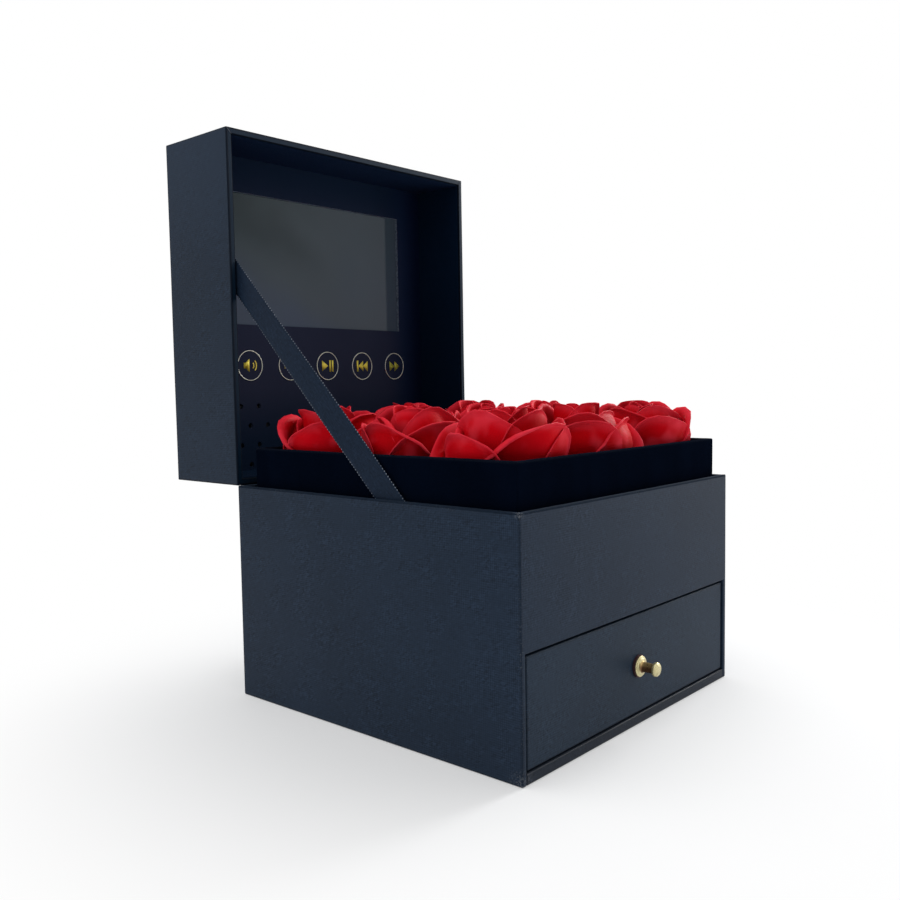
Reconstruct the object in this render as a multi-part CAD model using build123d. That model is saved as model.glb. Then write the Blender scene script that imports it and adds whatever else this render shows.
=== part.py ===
from build123d import *
import math
import os

# A keepsake box with a video player in its lid. Millimetres, +X right, -Y front, +Z up, with the
# origin at the middle of the underside. The lid is modelled standing open at a right angle, which
# is the rest pose, and the drawer is shut.

# ---- driving dimensions: the box and its boards ----
BOX_W = 214.0                # outside width
BOX_D = 214.0                # outside depth
BASE_H = 129.0               # height of the base, and of the hinge axis
LID_T = 65.0                 # thickness of the lid
BASE_WALL = 3.3              # grey board with its wrap, base
LID_WALL = 4.0               # doubled board with its wrap, lid
LID_TOP_T = 2.5              # the lid's broad outer board
EDGE_R = 0.7                 # rounding of wrapped outer edges
BOTTOM_T = 5.5               # doubled board under the drawer
BAY_H = 57.1                 # clear height of the drawer bay
SHELF_T = 2.5                # board over the drawer bay
RIM_GAP = 0.3                # between the lid's rim and the base's rim when shut

# ---- driving dimensions: flower tray ----
TRAY_INSET = 6.0             # tray behind the box's outer face, at the front and both sides
TRAY_REAR_INSET = 10.5       # the same at the back
TRAY_RISE = 23.0             # tray above the base's rim
TRAY_WALL = 3.0
TRAY_FLOOR = 2.0
SPACER_DROP = 28.9           # top of the packing boards round the tray, below the base's rim
FOAM_DROP = 2.0              # foam's top below the base's rim
FOAM_H = 32.0
FOAM_GAP = 0.3
ROSES_ACROSS = 3
ROSES_DEEP = 3
ROSE_CLEAR = 0.6             # roses below the buttons when the lid is shut
ROSE_WAIST = 0.45            # share of a rose's height at its widest
ROSE_SHOULDER = 0.85         # and at the shoulder under its crown
SHOULDER_SHARE = 0.82        # share of the widest radius at the shoulder
CROWN_SHARE = 0.45           # and round the flat crown
ROSE_SPACE = 0.6             # free space round each rose in its share of the tray
ROSE_FOOT_R = 14.0
STEM_R = 2.5
STEM_L = 28.0
STEM_GAP = 0.3
COLLAR_R = 10.0
COLLAR_T = 1.5

# ---- driving dimensions: ribbon and hinge ----
RIBBON_W = 15.7
RIBBON_T = 0.4
RIBBON_REACH = 126.3         # where the ribbon leaves the base's rim, in front of the hinge
RIBBON_RISE = 124.2          # where it enters the lid, above the hinge
RIBBON_TAIL = 16.0           # glued length past each of those points
CLOTH_T = 0.4
CLOTH_REACH = 18.0           # hinge cloth on each side of the axis
CLOTH_MARGIN = 4.0           # hinge cloth short of the box's sides
ROLL_R = 0.5                 # fold of the cloth on the hinge axis
ROLL_GAP = 0.3

# ---- driving dimensions: lid's inner face ----
LINER_T = 0.5
LINER_SETBACK = 1.5          # liner behind the lid's rim
PANEL_T = 2.0
BAY_DEPTH = 18.5             # room for the electronics behind the control panel
PANEL_GAP = 0.2
FRAME_WALL = 2.5
SCREEN_X = 1.2
SCREEN_DROP = 70.0           # screen's middle from the lid's free edge
WINDOW_W = 154.0
WINDOW_H = 86.0
GLASS_MARGIN = 4.0           # glass past the window at the sides
GLASS_MARGIN_UP = 5.0        # and above and below it
GLASS_T = 1.4
BACKLIGHT_T = 3.3
LCD_WALL = 1.0
LCD_BACK_T = 0.8
LCD_GAP = 0.3

# ---- driving dimensions: buttons ----
BUTTON_NAMES = ["volume_up", "volume_down", "play_pause", "previous", "next"]
BUTTON_PITCH = 34.0
BUTTON_ROW_X = 4.0           # middle of the row
BUTTON_DROP = 70.0           # button row under the screen's middle
BUTTON_R = 10.25
BUTTON_GAP = 0.3
BUTTON_PROUD = 0.2           # cap in front of the panel
BUTTON_TRAVEL = 0.5
FLANGE_LIP = 1.2             # flange past the panel's hole
FLANGE_T = 1.0
PLUNGER_R = 2.0
PLUNGER_L = 1.0
SWITCH_SIDE = 6.0
SWITCH_H = 3.5
SWITCH_TIP_R = 1.75
SWITCH_TIP_H = 1.0
SWITCH_GAP = 0.2             # left under a pressed button
KEY_BOARD_H = 16.0
KEY_BOARD_MARGIN = 12.0      # key board past the outer buttons' middles
PCB_T = 1.6
POST_R = 2.6
KEY_SCREW_HEAD_R = 2.2
KEY_SCREW_HEAD_T = 1.2
KEY_SCREW_L = 5.0
SCREW_R = 1.2
SCREW_GAP = 0.05

# ---- driving dimensions: speaker ----
SPEAKER_X = -65.0
SPEAKER_UP = 28.0
SPEAKER_R = 20.5
HOLE_R = 1.7
HOLE_PITCH = 14.3
HOLE_ROW_PITCH = 13.0
HOLE_ROWS = [1, 2, 3, 2]     # holes in each row, from the bottom
FIRST_ROW_UP = 8.0
RIM_RING = 3.1
RIM_T = 1.2
BASKET_BACK_R = 11.5
BASKET_H = 6.4
BASKET_SKIN = 1.0
CONE_SKIN = 0.4
CONE_GAP = 0.3
CONE_KNEE_R = 7.0
CONE_KNEE_DEEP = 4.0
CONE_DOME = 0.8              # dome over the cone's knee
MAGNET_R = 9.0
MAGNET_H = 4.0
LUG_L = 2.0
LUG_W = 6.0
LUG_T = 3.0

# ---- driving dimensions: main board and what is on it ----
BOARD_W = 89.5
BOARD_H = 52.0
BOARD_UP0 = 8.0              # board's lower edge above the hinge
BOARD_EDGE_GAP = 0.8         # board inside the support frame, at the right
# x and up from the board's lower left corner, width, height and thickness: processor, memory,
# coil and three capacitors
CHIPS = [
    (30, 24, 14, 14, 1.4), (52, 26, 12, 18, 1.2), (70, 36, 7, 7, 2.6),
    (14, 32, 5, 5, 2.4), (68, 12, 5, 5, 2.4), (48, 8, 5, 5, 2.4),
]
STANDOFF_R = 3.0
STANDOFF_INSET = 4.0
BOARD_SCREW_HEAD_R = 2.6
BOARD_SCREW_HEAD_T = 1.5
BOARD_SCREW_L = 5.0
LEAD_GAP = 0.3               # leads clear of the screws and boards beside them
CONNECTOR_L = 5.0
FLAT_CONNECTOR_H = 2.4
CONNECTOR_MARGIN = 1.0       # connector past a flat cable's edge
LEAD_CONNECTOR_H = 3.2
LEAD_CONNECTOR_W = 8.0
LCD_FLEX_INSET = 27.0        # middles of the cables from the board's left edge
KEY_FLEX_INSET = 65.0
BATTERY_LEAD_INSET = 51.0
LCD_FLEX_W = 25.0
KEY_FLEX_W = 8.0
FLEX_T = 0.3
FLEX_BEND_R = 6.0
FLEX_LAND = 17.0             # flat cable on the screen's back
FLEX_SLOPE = 8.0             # height in which it drops to the board's level
LEAD_R = 0.6
LEAD_PITCH = 2.0
BATTERY_W = 64.0
BATTERY_H = 48.0
BATTERY_T = 6.0
BATTERY_DROP = 18.0          # battery's middle under the screen's middle
BATTERY_LEAD_EDGE = 3.0      # leads inside the battery's right edge
BATTERY_R = 2.0
PORT_RISE = 27.0             # charging port above the board's lower edge
PORT_W = 12.0
PORT_H = 6.8
SOCKET_W = 7.5
SOCKET_H = 2.6
SOCKET_L = 9.9
SOCKET_SKIN = 0.4
SOCKET_MOUTH = 5.0
TONGUE_T = 0.7
TONGUE_W = 4.0

# ---- driving dimensions: drawer and knob ----
FRONT_SETBACK = 0.8          # drawer front behind the box's front
FRONT_T = 4.0
FRONT_SIDE_GAP = 1.5
FRONT_TOP_GAP = 1.3
FRONT_FOOT_GAP = 0.9
DRAWER_RUN_GAP = 0.3         # drawer above the bottom board
DRAWER_HEADROOM = 8.8
DRAWER_WALL = 2.5
DRAWER_FLOOR = 2.0
DRAWER_BACK_GAP = 3.7
DRAWER_LINER_T = 2.0
DRAWER_LINER_GAP = 0.3
KNOB_RISE = 26.9             # knob above the bottom board
ROSETTE_R = 6.3
ROSETTE_T = 1.2
KNOB_FLANGE_R = 6.0
KNOB_FLANGE_T = 0.9
KNOB_STEM_R = 2.7
KNOB_NECK_R = 2.5
KNOB_HEAD_R = 4.2
KNOB_HEAD_T = 2.8
KNOB_L = 11.6                # knob in front of its rosette
KNOB_ROUND = 0.5
KNOB_SCREW_R = 1.6
KNOB_SCREW_BITE = 5.0
KNOB_SCREW_HEAD_R = 3.5
KNOB_SCREW_HEAD_T = 1.8
WASHER_R = 4.5
WASHER_T = 0.8
HOLE_GAP = 0.2

# ---- worked out from the sizes above ----
HALF_W = BOX_W / 2
FRONT_Y = -BOX_D / 2
HINGE_Y = BOX_D / 2
INNER_X = HALF_W - BASE_WALL
INNER_FRONT_Y = FRONT_Y + BASE_WALL
INNER_BACK_Y = HINGE_Y - BASE_WALL
BAY_TOP = BOTTOM_T + BAY_H
SHELF_TOP = BAY_TOP + SHELF_T
TRAY_X = HALF_W - TRAY_INSET
TRAY_FRONT_Y = FRONT_Y + TRAY_INSET
TRAY_BACK_Y = HINGE_Y - TRAY_REAR_INSET
FOAM_TOP = BASE_H - FOAM_DROP
FOAM_FOOT = FOAM_TOP - FOAM_H
LID_INNER_X = HALF_W - LID_WALL
LID_FACE_DEEP = LID_T - LID_TOP_T
FRAME_OUTER_X = LID_INNER_X - PANEL_GAP
PANEL_BACK = LID_FACE_DEEP - BAY_DEPTH
PANEL_DEEP = PANEL_BACK - PANEL_T
ROSE_TOP = PANEL_DEEP - BUTTON_PROUD - ROSE_CLEAR
SCREEN_UP = BOX_D - SCREEN_DROP
LCD_BACK = PANEL_BACK + GLASS_T + BACKLIGHT_T + LCD_BACK_T
LCD_FOOT_UP = SCREEN_UP - WINDOW_H / 2 - GLASS_MARGIN_UP - LCD_GAP - LCD_WALL
BUTTON_UP = SCREEN_UP - BUTTON_DROP
FLANGE_R = BUTTON_R + BUTTON_GAP + FLANGE_LIP
SWITCH_TIP_DEEP = PANEL_BACK + BUTTON_GAP + FLANGE_T + PLUNGER_L + BUTTON_TRAVEL + SWITCH_GAP
KEY_BOARD_DEEP = SWITCH_TIP_DEEP + SWITCH_TIP_H + SWITCH_H
KEY_BOARD_BACK = KEY_BOARD_DEEP + PCB_T
LEAD_DEEP = KEY_BOARD_BACK + KEY_SCREW_HEAD_T + LEAD_GAP + LEAD_R
BOARD_DEEP = LEAD_DEEP + LEAD_R + LEAD_GAP
BOARD_BACK = BOARD_DEEP + PCB_T
BOARD_X1 = FRAME_OUTER_X - FRAME_WALL - BOARD_EDGE_GAP
BOARD_X0 = BOARD_X1 - BOARD_W
BOARD_UP1 = BOARD_UP0 + BOARD_H
LCD_FLEX_X = BOARD_X0 + LCD_FLEX_INSET
KEY_FLEX_X = BOARD_X0 + KEY_FLEX_INSET
BATTERY_LEAD_X = BOARD_X0 + BATTERY_LEAD_INSET
BATTERY_X1 = BATTERY_LEAD_X + BATTERY_LEAD_EDGE
BATTERY_UP0 = SCREEN_UP - BATTERY_DROP - BATTERY_H / 2
PORT_UP = BOARD_UP0 + PORT_RISE
PORT_DEEP = BOARD_DEEP - SOCKET_H / 2
KNOB_Z = BOTTOM_T + KNOB_RISE
DRAWER_X = INNER_X - FRONT_SIDE_GAP
FRONT_FACE_Y = FRONT_Y + FRONT_SETBACK
DRAWER_FRONT_Y = FRONT_FACE_Y + FRONT_T
DRAWER_BACK_Y = INNER_BACK_Y - DRAWER_BACK_GAP
DRAWER_Z = BOTTOM_T + DRAWER_RUN_GAP
DRAWER_TOP = BAY_TOP - DRAWER_HEADROOM
CUT = 1.0                    # how far cutting blocks run past a face


# ---- helpers ----
def block(x0, x1, y0, y1, z0, z1):
    """A block from its low and high corners."""
    return Pos((x0 + x1) / 2, (y0 + y1) / 2, (z0 + z1) / 2) * Box(x1 - x0, y1 - y0, z1 - z0)


def lid_block(x0, x1, up0, up1, deep0, deep1):
    """A block in the open lid: up from the hinge, and deep behind the lid's rim."""
    return block(x0, x1, HINGE_Y + deep0, HINGE_Y + deep1, BASE_H + up0, BASE_H + up1)


def rod_y(x, z, y0, y1, radius):
    """A round rod along Y."""
    return Pos(x, (y0 + y1) / 2, z) * Rot(90, 0, 0) * Cylinder(radius, y1 - y0)


def rod_z(x, y, z0, z1, radius):
    """A round rod along Z."""
    return Pos(x, y, (z0 + z1) / 2) * Cylinder(radius, z1 - z0)


def lid_rod(x, up, deep0, deep1, radius):
    """A round rod in the open lid, along its depth."""
    return rod_y(x, BASE_H + up, HINGE_Y + deep0, HINGE_Y + deep1, radius)


def hinge_rod(radius, length):
    """A rod on the hinge axis."""
    return Pos(0, HINGE_Y, BASE_H) * Rot(0, 90, 0) * Cylinder(radius, length)


def turned_y(points, x, y, z):
    """A solid turned about an axis along +Y through (x, y, z), from points of (along, radius)."""
    outline = Polyline([(radius, 0, along) for along, radius in points], close=True)
    return Pos(x, y, z) * Rot(-90, 0, 0) * revolve(make_face(outline), Axis.Z)


def group(solids):
    """Separate solids of one node."""
    return Compound(children=list(solids))


def button_xs():
    first = BUTTON_ROW_X - BUTTON_PITCH * (len(BUTTON_NAMES) - 1) / 2
    return [first + BUTTON_PITCH * i for i in range(len(BUTTON_NAMES))]


def post_xs():
    """Middles between neighbouring buttons."""
    xs = button_xs()
    return [(a + b) / 2 for a, b in zip(xs, xs[1:])]


def rose_places():
    """Name, x and y of each rose, in equal shares of the tray's inside."""
    rows = ["front", "middle", "back"]
    columns = ["left", "centre", "right"]
    inner_w = 2 * (TRAY_X - TRAY_WALL)
    inner_d = TRAY_BACK_Y - TRAY_FRONT_Y - 2 * TRAY_WALL
    places = []
    for j in range(ROSES_DEEP):
        for i in range(ROSES_ACROSS):
            x = -inner_w / 2 + inner_w * (i + 0.5) / ROSES_ACROSS
            y = TRAY_FRONT_Y + TRAY_WALL + inner_d * (j + 0.5) / ROSES_DEEP
            places.append((f"rose_{rows[j]}_{columns[i]}", x, y))
    return places


def rose_radius():
    inner_w = 2 * (TRAY_X - TRAY_WALL)
    inner_d = TRAY_BACK_Y - TRAY_FRONT_Y - 2 * TRAY_WALL
    return min(inner_w / ROSES_ACROSS, inner_d / ROSES_DEEP) / 2 - ROSE_SPACE


# ---- base ----
def base_shell():
    shell = block(-HALF_W, HALF_W, FRONT_Y, HINGE_Y, 0, BASE_H)
    shell = fillet(shell.edges().filter_by(Axis.Z), EDGE_R)
    shell -= block(-INNER_X, INNER_X, INNER_FRONT_Y, INNER_BACK_Y, -CUT, BASE_H + CUT)
    shell -= block(-INNER_X, INNER_X, FRONT_Y - CUT, INNER_FRONT_Y + CUT, -CUT, BAY_TOP)
    cloth_x = HALF_W - CLOTH_MARGIN
    shell -= block(-cloth_x, cloth_x, HINGE_Y - CLOTH_T, HINGE_Y + CUT, BASE_H - CLOTH_REACH, BASE_H + CUT)
    return shell - hinge_rod(ROLL_R, 2 * cloth_x)


def bottom_board():
    return block(-INNER_X, INNER_X, FRONT_Y, INNER_BACK_Y, 0, BOTTOM_T)


def shelf_board():
    return block(-INNER_X, INNER_X, INNER_FRONT_Y, INNER_BACK_Y, BAY_TOP, SHELF_TOP)


def flower_tray():
    """Four walls that stand on the shelf, with a raised floor for the foam."""
    tray = block(-TRAY_X, TRAY_X, TRAY_FRONT_Y, TRAY_BACK_Y, SHELF_TOP, BASE_H + TRAY_RISE)
    inner_x = TRAY_X - TRAY_WALL
    front = TRAY_FRONT_Y + TRAY_WALL
    back = TRAY_BACK_Y - TRAY_WALL
    tray -= block(-inner_x, inner_x, front, back, FOAM_FOOT, BASE_H + TRAY_RISE + CUT)
    return tray - block(-inner_x, inner_x, front, back, SHELF_TOP - CUT, FOAM_FOOT - TRAY_FLOOR)


def neck_spacers():
    top = BASE_H - SPACER_DROP
    left = block(-INNER_X, -TRAY_X, INNER_FRONT_Y, INNER_BACK_Y, SHELF_TOP, top)
    right = block(TRAY_X, INNER_X, INNER_FRONT_Y, INNER_BACK_Y, SHELF_TOP, top)
    front = block(-TRAY_X, TRAY_X, INNER_FRONT_Y, TRAY_FRONT_Y, SHELF_TOP, top)
    back = block(-TRAY_X, TRAY_X, TRAY_BACK_Y, INNER_BACK_Y, SHELF_TOP, top)
    return group([left, right, front, back])


def foam_block():
    inner_x = TRAY_X - TRAY_WALL - FOAM_GAP
    front = TRAY_FRONT_Y + TRAY_WALL + FOAM_GAP
    back = TRAY_BACK_Y - TRAY_WALL - FOAM_GAP
    foam = block(-inner_x, inner_x, front, back, FOAM_FOOT, FOAM_TOP)
    for _, x, y in rose_places():
        foam -= rod_z(x, y, FOAM_TOP - STEM_L - STEM_GAP, FOAM_TOP + CUT, STEM_R + STEM_GAP)
    return foam


def rose_stems():
    """A peg with a flat collar under each rose."""
    stems = []
    for _, x, y in rose_places():
        peg = rod_z(x, y, FOAM_TOP - STEM_L, FOAM_TOP + COLLAR_T, STEM_R)
        stems.append(peg + rod_z(x, y, FOAM_TOP, FOAM_TOP + COLLAR_T, COLLAR_R))
    return group(stems)


def rose(x, y):
    """The outer form of one open rose on its collar."""
    foot = FOAM_TOP + COLLAR_T
    top = BASE_H + ROSE_TOP
    height = top - foot
    radius = rose_radius()
    waist = (radius, 0, foot + ROSE_WAIST * height)
    shoulder = (SHOULDER_SHARE * radius, 0, foot + ROSE_SHOULDER * height)
    crown = (CROWN_SHARE * radius, 0, top)
    side = Spline([(ROSE_FOOT_R, 0, foot), waist, shoulder, crown])
    rest = Polyline([crown, (0, 0, top), (0, 0, foot), (ROSE_FOOT_R, 0, foot)])
    return Pos(x, y, 0) * revolve(make_face([side, rest]), Axis.Z)


def hinge_cloth_base():
    cloth_x = HALF_W - CLOTH_MARGIN
    strip = block(-cloth_x, cloth_x, HINGE_Y - CLOTH_T, HINGE_Y, BASE_H - CLOTH_REACH, BASE_H)
    return strip + hinge_rod(ROLL_R, 2 * cloth_x)


def ribbon_stay():
    """A flat ribbon that holds the lid at a right angle. It leans from the base's left wall to the lid's liner."""
    slope = math.degrees(math.atan2(RIBBON_RISE, RIBBON_REACH))
    length = math.hypot(RIBBON_RISE, RIBBON_REACH) + 2 * RIBBON_TAIL
    inward = INNER_X - (LID_INNER_X - LINER_T)
    lean = math.asin(inward / (length - RIBBON_TAIL - RIBBON_W / 2))
    middle_x = -INNER_X + length / 2 * math.sin(lean) + RIBBON_T / 2
    middle_y = HINGE_Y - RIBBON_REACH / 2
    middle_z = BASE_H + RIBBON_RISE / 2
    strip = Rot(slope, 0, 0) * Rot(0, 0, -math.degrees(lean)) * Box(RIBBON_T, length, RIBBON_W)
    return Pos(middle_x, middle_y, middle_z) * strip


# ---- lid: boards ----
def lid_shell():
    shell = lid_block(-HALF_W, HALF_W, 0, BOX_D, RIM_GAP, LID_T)
    outer_face = shell.faces().sort_by(Axis.Y)[-1]
    shell = fillet(shell.edges().filter_by(Axis.Y) + outer_face.edges(), EDGE_R)
    inner_up = BOX_D - LID_WALL
    shell -= lid_block(-LID_INNER_X, LID_INNER_X, LID_WALL, inner_up, -CUT, LID_FACE_DEEP)
    shell -= lid_block(LID_INNER_X - CUT, HALF_W + CUT, PORT_UP - PORT_W / 2, PORT_UP + PORT_W / 2,
                       PORT_DEEP - PORT_H / 2, PORT_DEEP + PORT_H / 2)
    cloth_x = HALF_W - CLOTH_MARGIN
    shell -= lid_block(-cloth_x, cloth_x, -CUT, CLOTH_T, -CUT, CLOTH_REACH)
    return shell - hinge_rod(ROLL_R + ROLL_GAP, 2 * cloth_x)


def hinge_cloth_lid():
    cloth_x = HALF_W - CLOTH_MARGIN
    strip = lid_block(-cloth_x, cloth_x, 0, CLOTH_T, RIM_GAP, CLOTH_REACH)
    return strip - hinge_rod(ROLL_R + ROLL_GAP, BOX_W)


def lid_liner():
    """Black paper on the lid's four inner walls, from near the rim to the control panel."""
    up1 = BOX_D - LID_WALL
    liner = lid_block(-LID_INNER_X, LID_INNER_X, LID_WALL, up1, LINER_SETBACK, PANEL_DEEP)
    inner_x = LID_INNER_X - LINER_T
    return liner - lid_block(-inner_x, inner_x, LID_WALL + LINER_T, up1 - LINER_T, 0, PANEL_DEEP + CUT)


def speaker_hole_places():
    places = []
    for row, count in enumerate(HOLE_ROWS):
        first = SPEAKER_X - HOLE_PITCH * (count - 1) / 2
        for i in range(count):
            places.append((first + HOLE_PITCH * i, FIRST_ROW_UP + HOLE_ROW_PITCH * row))
    return places


def control_panel():
    edge_x = FRAME_OUTER_X
    up0 = LID_WALL + PANEL_GAP
    up1 = BOX_D - LID_WALL - PANEL_GAP
    panel = lid_block(-edge_x, edge_x, up0, up1, PANEL_DEEP, PANEL_BACK)
    panel -= lid_block(SCREEN_X - WINDOW_W / 2, SCREEN_X + WINDOW_W / 2, SCREEN_UP - WINDOW_H / 2,
                       SCREEN_UP + WINDOW_H / 2, PANEL_DEEP - CUT, PANEL_BACK + CUT)
    for x in button_xs():
        panel -= lid_rod(x, BUTTON_UP, PANEL_DEEP - CUT, PANEL_BACK + CUT, BUTTON_R + BUTTON_GAP)
    for x, up in speaker_hole_places():
        panel -= lid_rod(x, up, PANEL_DEEP - CUT, PANEL_BACK + CUT, HOLE_R)
    return panel


def panel_support_frame():
    """A board frame round the electronics, between the panel and the lid's broad board."""
    edge_x = FRAME_OUTER_X
    up0 = LID_WALL + PANEL_GAP
    up1 = BOX_D - LID_WALL - PANEL_GAP
    frame = lid_block(-edge_x, edge_x, up0, up1, PANEL_BACK, LID_FACE_DEEP)
    frame -= lid_block(-edge_x + FRAME_WALL, edge_x - FRAME_WALL, up0 + FRAME_WALL, up1 - FRAME_WALL,
                       PANEL_BACK - CUT, LID_FACE_DEEP + CUT)
    notch_x = edge_x - FRAME_WALL - CUT
    return frame - lid_block(notch_x, edge_x + CUT, PORT_UP - PORT_W / 2, PORT_UP + PORT_W / 2,
                             PANEL_BACK - CUT, LID_FACE_DEEP + CUT)


# ---- lid: screen ----
def glass_block(deep0, deep1, margin):
    """A block of the glass's outline, with a margin all round."""
    half_w = WINDOW_W / 2 + GLASS_MARGIN + margin
    half_h = WINDOW_H / 2 + GLASS_MARGIN_UP + margin
    return lid_block(SCREEN_X - half_w, SCREEN_X + half_w, SCREEN_UP - half_h, SCREEN_UP + half_h,
                     deep0, deep1)


def lcd_glass():
    return glass_block(PANEL_BACK, PANEL_BACK + GLASS_T, 0)


def lcd_backlight():
    return glass_block(PANEL_BACK + GLASS_T, LCD_BACK - LCD_BACK_T, 0)


def lcd_frame():
    tray = glass_block(PANEL_BACK, LCD_BACK, LCD_GAP + LCD_WALL)
    return tray - glass_block(PANEL_BACK - CUT, LCD_BACK - LCD_BACK_T, LCD_GAP)


def lcd_flex_cable():
    """A flat cable from the screen's back, behind the key board, to the main board."""
    on_screen = LCD_BACK + FLEX_T / 2
    route = [(LCD_FOOT_UP + FLEX_LAND, on_screen), (LCD_FOOT_UP, on_screen),
             (LCD_FOOT_UP - FLEX_SLOPE, LEAD_DEEP), (BOARD_UP1, LEAD_DEEP)]
    points = [(LCD_FLEX_X, HINGE_Y + deep, BASE_H + up) for up, deep in route]
    path = FilletPolyline(points, radius=FLEX_BEND_R)
    section = Plane(origin=points[0], x_dir=(1, 0, 0), z_dir=(0, 0, -1)) * Rectangle(LCD_FLEX_W, FLEX_T)
    return sweep(section, path)


# ---- lid: buttons ----
def button(x):
    """A round cap with a flange behind the panel and a plunger towards its switch."""
    flange_deep = PANEL_BACK + BUTTON_GAP
    cap = lid_rod(x, BUTTON_UP, PANEL_DEEP - BUTTON_PROUD, flange_deep, BUTTON_R)
    cap = fillet(cap.edges().sort_by(Axis.Y)[0], BUTTON_PROUD)
    cap += lid_rod(x, BUTTON_UP, flange_deep, flange_deep + FLANGE_T, FLANGE_R)
    return cap + lid_rod(x, BUTTON_UP, flange_deep + FLANGE_T, flange_deep + FLANGE_T + PLUNGER_L, PLUNGER_R)


def key_board():
    """The board behind the buttons, long enough for the last button and for its cable's connector."""
    xs = button_xs()
    right = max(xs[-1] + KEY_BOARD_MARGIN, KEY_FLEX_X + KEY_FLEX_W / 2 + 2 * CONNECTOR_MARGIN)
    board = lid_block(xs[0] - KEY_BOARD_MARGIN, right, BUTTON_UP - KEY_BOARD_H / 2,
                      BUTTON_UP + KEY_BOARD_H / 2, KEY_BOARD_DEEP, KEY_BOARD_BACK)
    for x in post_xs():
        board -= lid_rod(x, BUTTON_UP, KEY_BOARD_DEEP - CUT, KEY_BOARD_BACK + CUT, SCREW_R + SCREW_GAP)
    return board


def key_switches():
    switches = []
    half = SWITCH_SIDE / 2
    body_deep = SWITCH_TIP_DEEP + SWITCH_TIP_H
    for x in button_xs():
        body = lid_block(x - half, x + half, BUTTON_UP - half, BUTTON_UP + half, body_deep, KEY_BOARD_DEEP)
        switches.append(body + lid_rod(x, BUTTON_UP, SWITCH_TIP_DEEP, body_deep, SWITCH_TIP_R))
    return group(switches)


def key_board_posts():
    posts = []
    for x in post_xs():
        post = lid_rod(x, BUTTON_UP, PANEL_BACK, KEY_BOARD_DEEP, POST_R)
        bore_deep = KEY_BOARD_BACK - KEY_SCREW_L - SCREW_GAP
        posts.append(post - lid_rod(x, BUTTON_UP, bore_deep, KEY_BOARD_DEEP + CUT, SCREW_R + SCREW_GAP))
    return group(posts)


def key_board_screws():
    screws = []
    for x in post_xs():
        head = lid_rod(x, BUTTON_UP, KEY_BOARD_BACK, KEY_BOARD_BACK + KEY_SCREW_HEAD_T, KEY_SCREW_HEAD_R)
        screws.append(head + lid_rod(x, BUTTON_UP, KEY_BOARD_BACK - KEY_SCREW_L, KEY_BOARD_BACK, SCREW_R))
    return group(screws)


def key_connector_up():
    """Lower face of the connector on the key board's back."""
    return BUTTON_UP - KEY_BOARD_H / 2 + CONNECTOR_MARGIN


def key_flex_cable():
    """A short flat cable from the key board's connector to the main board."""
    top = key_connector_up()
    return lid_block(KEY_FLEX_X - KEY_FLEX_W / 2, KEY_FLEX_X + KEY_FLEX_W / 2, BOARD_UP1, top,
                     LEAD_DEEP - FLEX_T / 2, LEAD_DEEP + FLEX_T / 2)


# ---- lid: speaker ----
def speaker_basket():
    rim_inner = SPEAKER_R - RIM_RING
    shoulder_r = SPEAKER_R - RIM_RING / 2
    outline = [
        (0, rim_inner), (0, SPEAKER_R), (RIM_T, SPEAKER_R), (RIM_T, shoulder_r), (BASKET_H, BASKET_BACK_R),
        (BASKET_H, 0), (BASKET_H - BASKET_SKIN, 0), (BASKET_H - BASKET_SKIN, BASKET_BACK_R - BASKET_SKIN),
        (RIM_T, rim_inner),
    ]
    basket = turned_y(outline, SPEAKER_X, HINGE_Y + PANEL_BACK, BASE_H + SPEAKER_UP)
    lug_x = SPEAKER_X + shoulder_r
    lug = lid_block(lug_x, SPEAKER_X + SPEAKER_R + LUG_L, SPEAKER_UP - LUG_W / 2, SPEAKER_UP + LUG_W / 2,
                    PANEL_BACK, PANEL_BACK + LUG_T)
    return basket + lug


def speaker_cone():
    edge_r = SPEAKER_R - RIM_RING - CONE_GAP
    outline = [
        (CONE_GAP, edge_r), (CONE_GAP + CONE_SKIN, edge_r), (CONE_KNEE_DEEP, CONE_KNEE_R),
        (CONE_KNEE_DEEP - CONE_DOME, 0), (CONE_KNEE_DEEP - CONE_DOME - CONE_SKIN, 0),
        (CONE_KNEE_DEEP - CONE_SKIN, CONE_KNEE_R),
    ]
    return turned_y(outline, SPEAKER_X, HINGE_Y + PANEL_BACK, BASE_H + SPEAKER_UP)


def speaker_magnet():
    front = PANEL_BACK + BASKET_H
    return lid_rod(SPEAKER_X, SPEAKER_UP, front, front + MAGNET_H, MAGNET_R)


def wire(points, section_plane):
    """A round lead along runs joined by tangent arcs, each as large as its runs allow."""
    vectors = [Vector(*p) for p in points]
    radii = []
    for a, b, c in zip(vectors, vectors[1:], vectors[2:]):
        turn = math.radians((b - a).get_angle(c - b))
        radii.append(0.45 * min((b - a).length, (c - b).length) / math.tan(turn / 2))
    print("lead radii", [round(r, 1) for r in radii])
    return sweep(section_plane * Circle(LEAD_R), FilletPolyline(points, radius=radii))


def speaker_leads():
    leads = []
    lug_deep = PANEL_BACK + LUG_T / 2
    x_start = SPEAKER_X + SPEAKER_R + LUG_L
    run = (BOARD_X0 - x_start) / 3
    for side in (-1, 1):
        z = BASE_H + SPEAKER_UP + side * LEAD_PITCH / 2
        route = [(x_start, lug_deep), (x_start + run, lug_deep),
                 (BOARD_X0 - run, LEAD_DEEP), (BOARD_X0, LEAD_DEEP)]
        points = [(x, HINGE_Y + deep, z) for x, deep in route]
        leads.append(wire(points, Plane(origin=points[0], z_dir=(1, 0, 0))))
    return group(leads)


# ---- lid: main board ----
def standoff_places():
    xs = (BOARD_X0 + STANDOFF_INSET, BOARD_X1 - STANDOFF_INSET)
    ups = (BOARD_UP0 + STANDOFF_INSET, BOARD_UP1 - STANDOFF_INSET)
    return [(x, up) for x in xs for up in ups]


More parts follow.
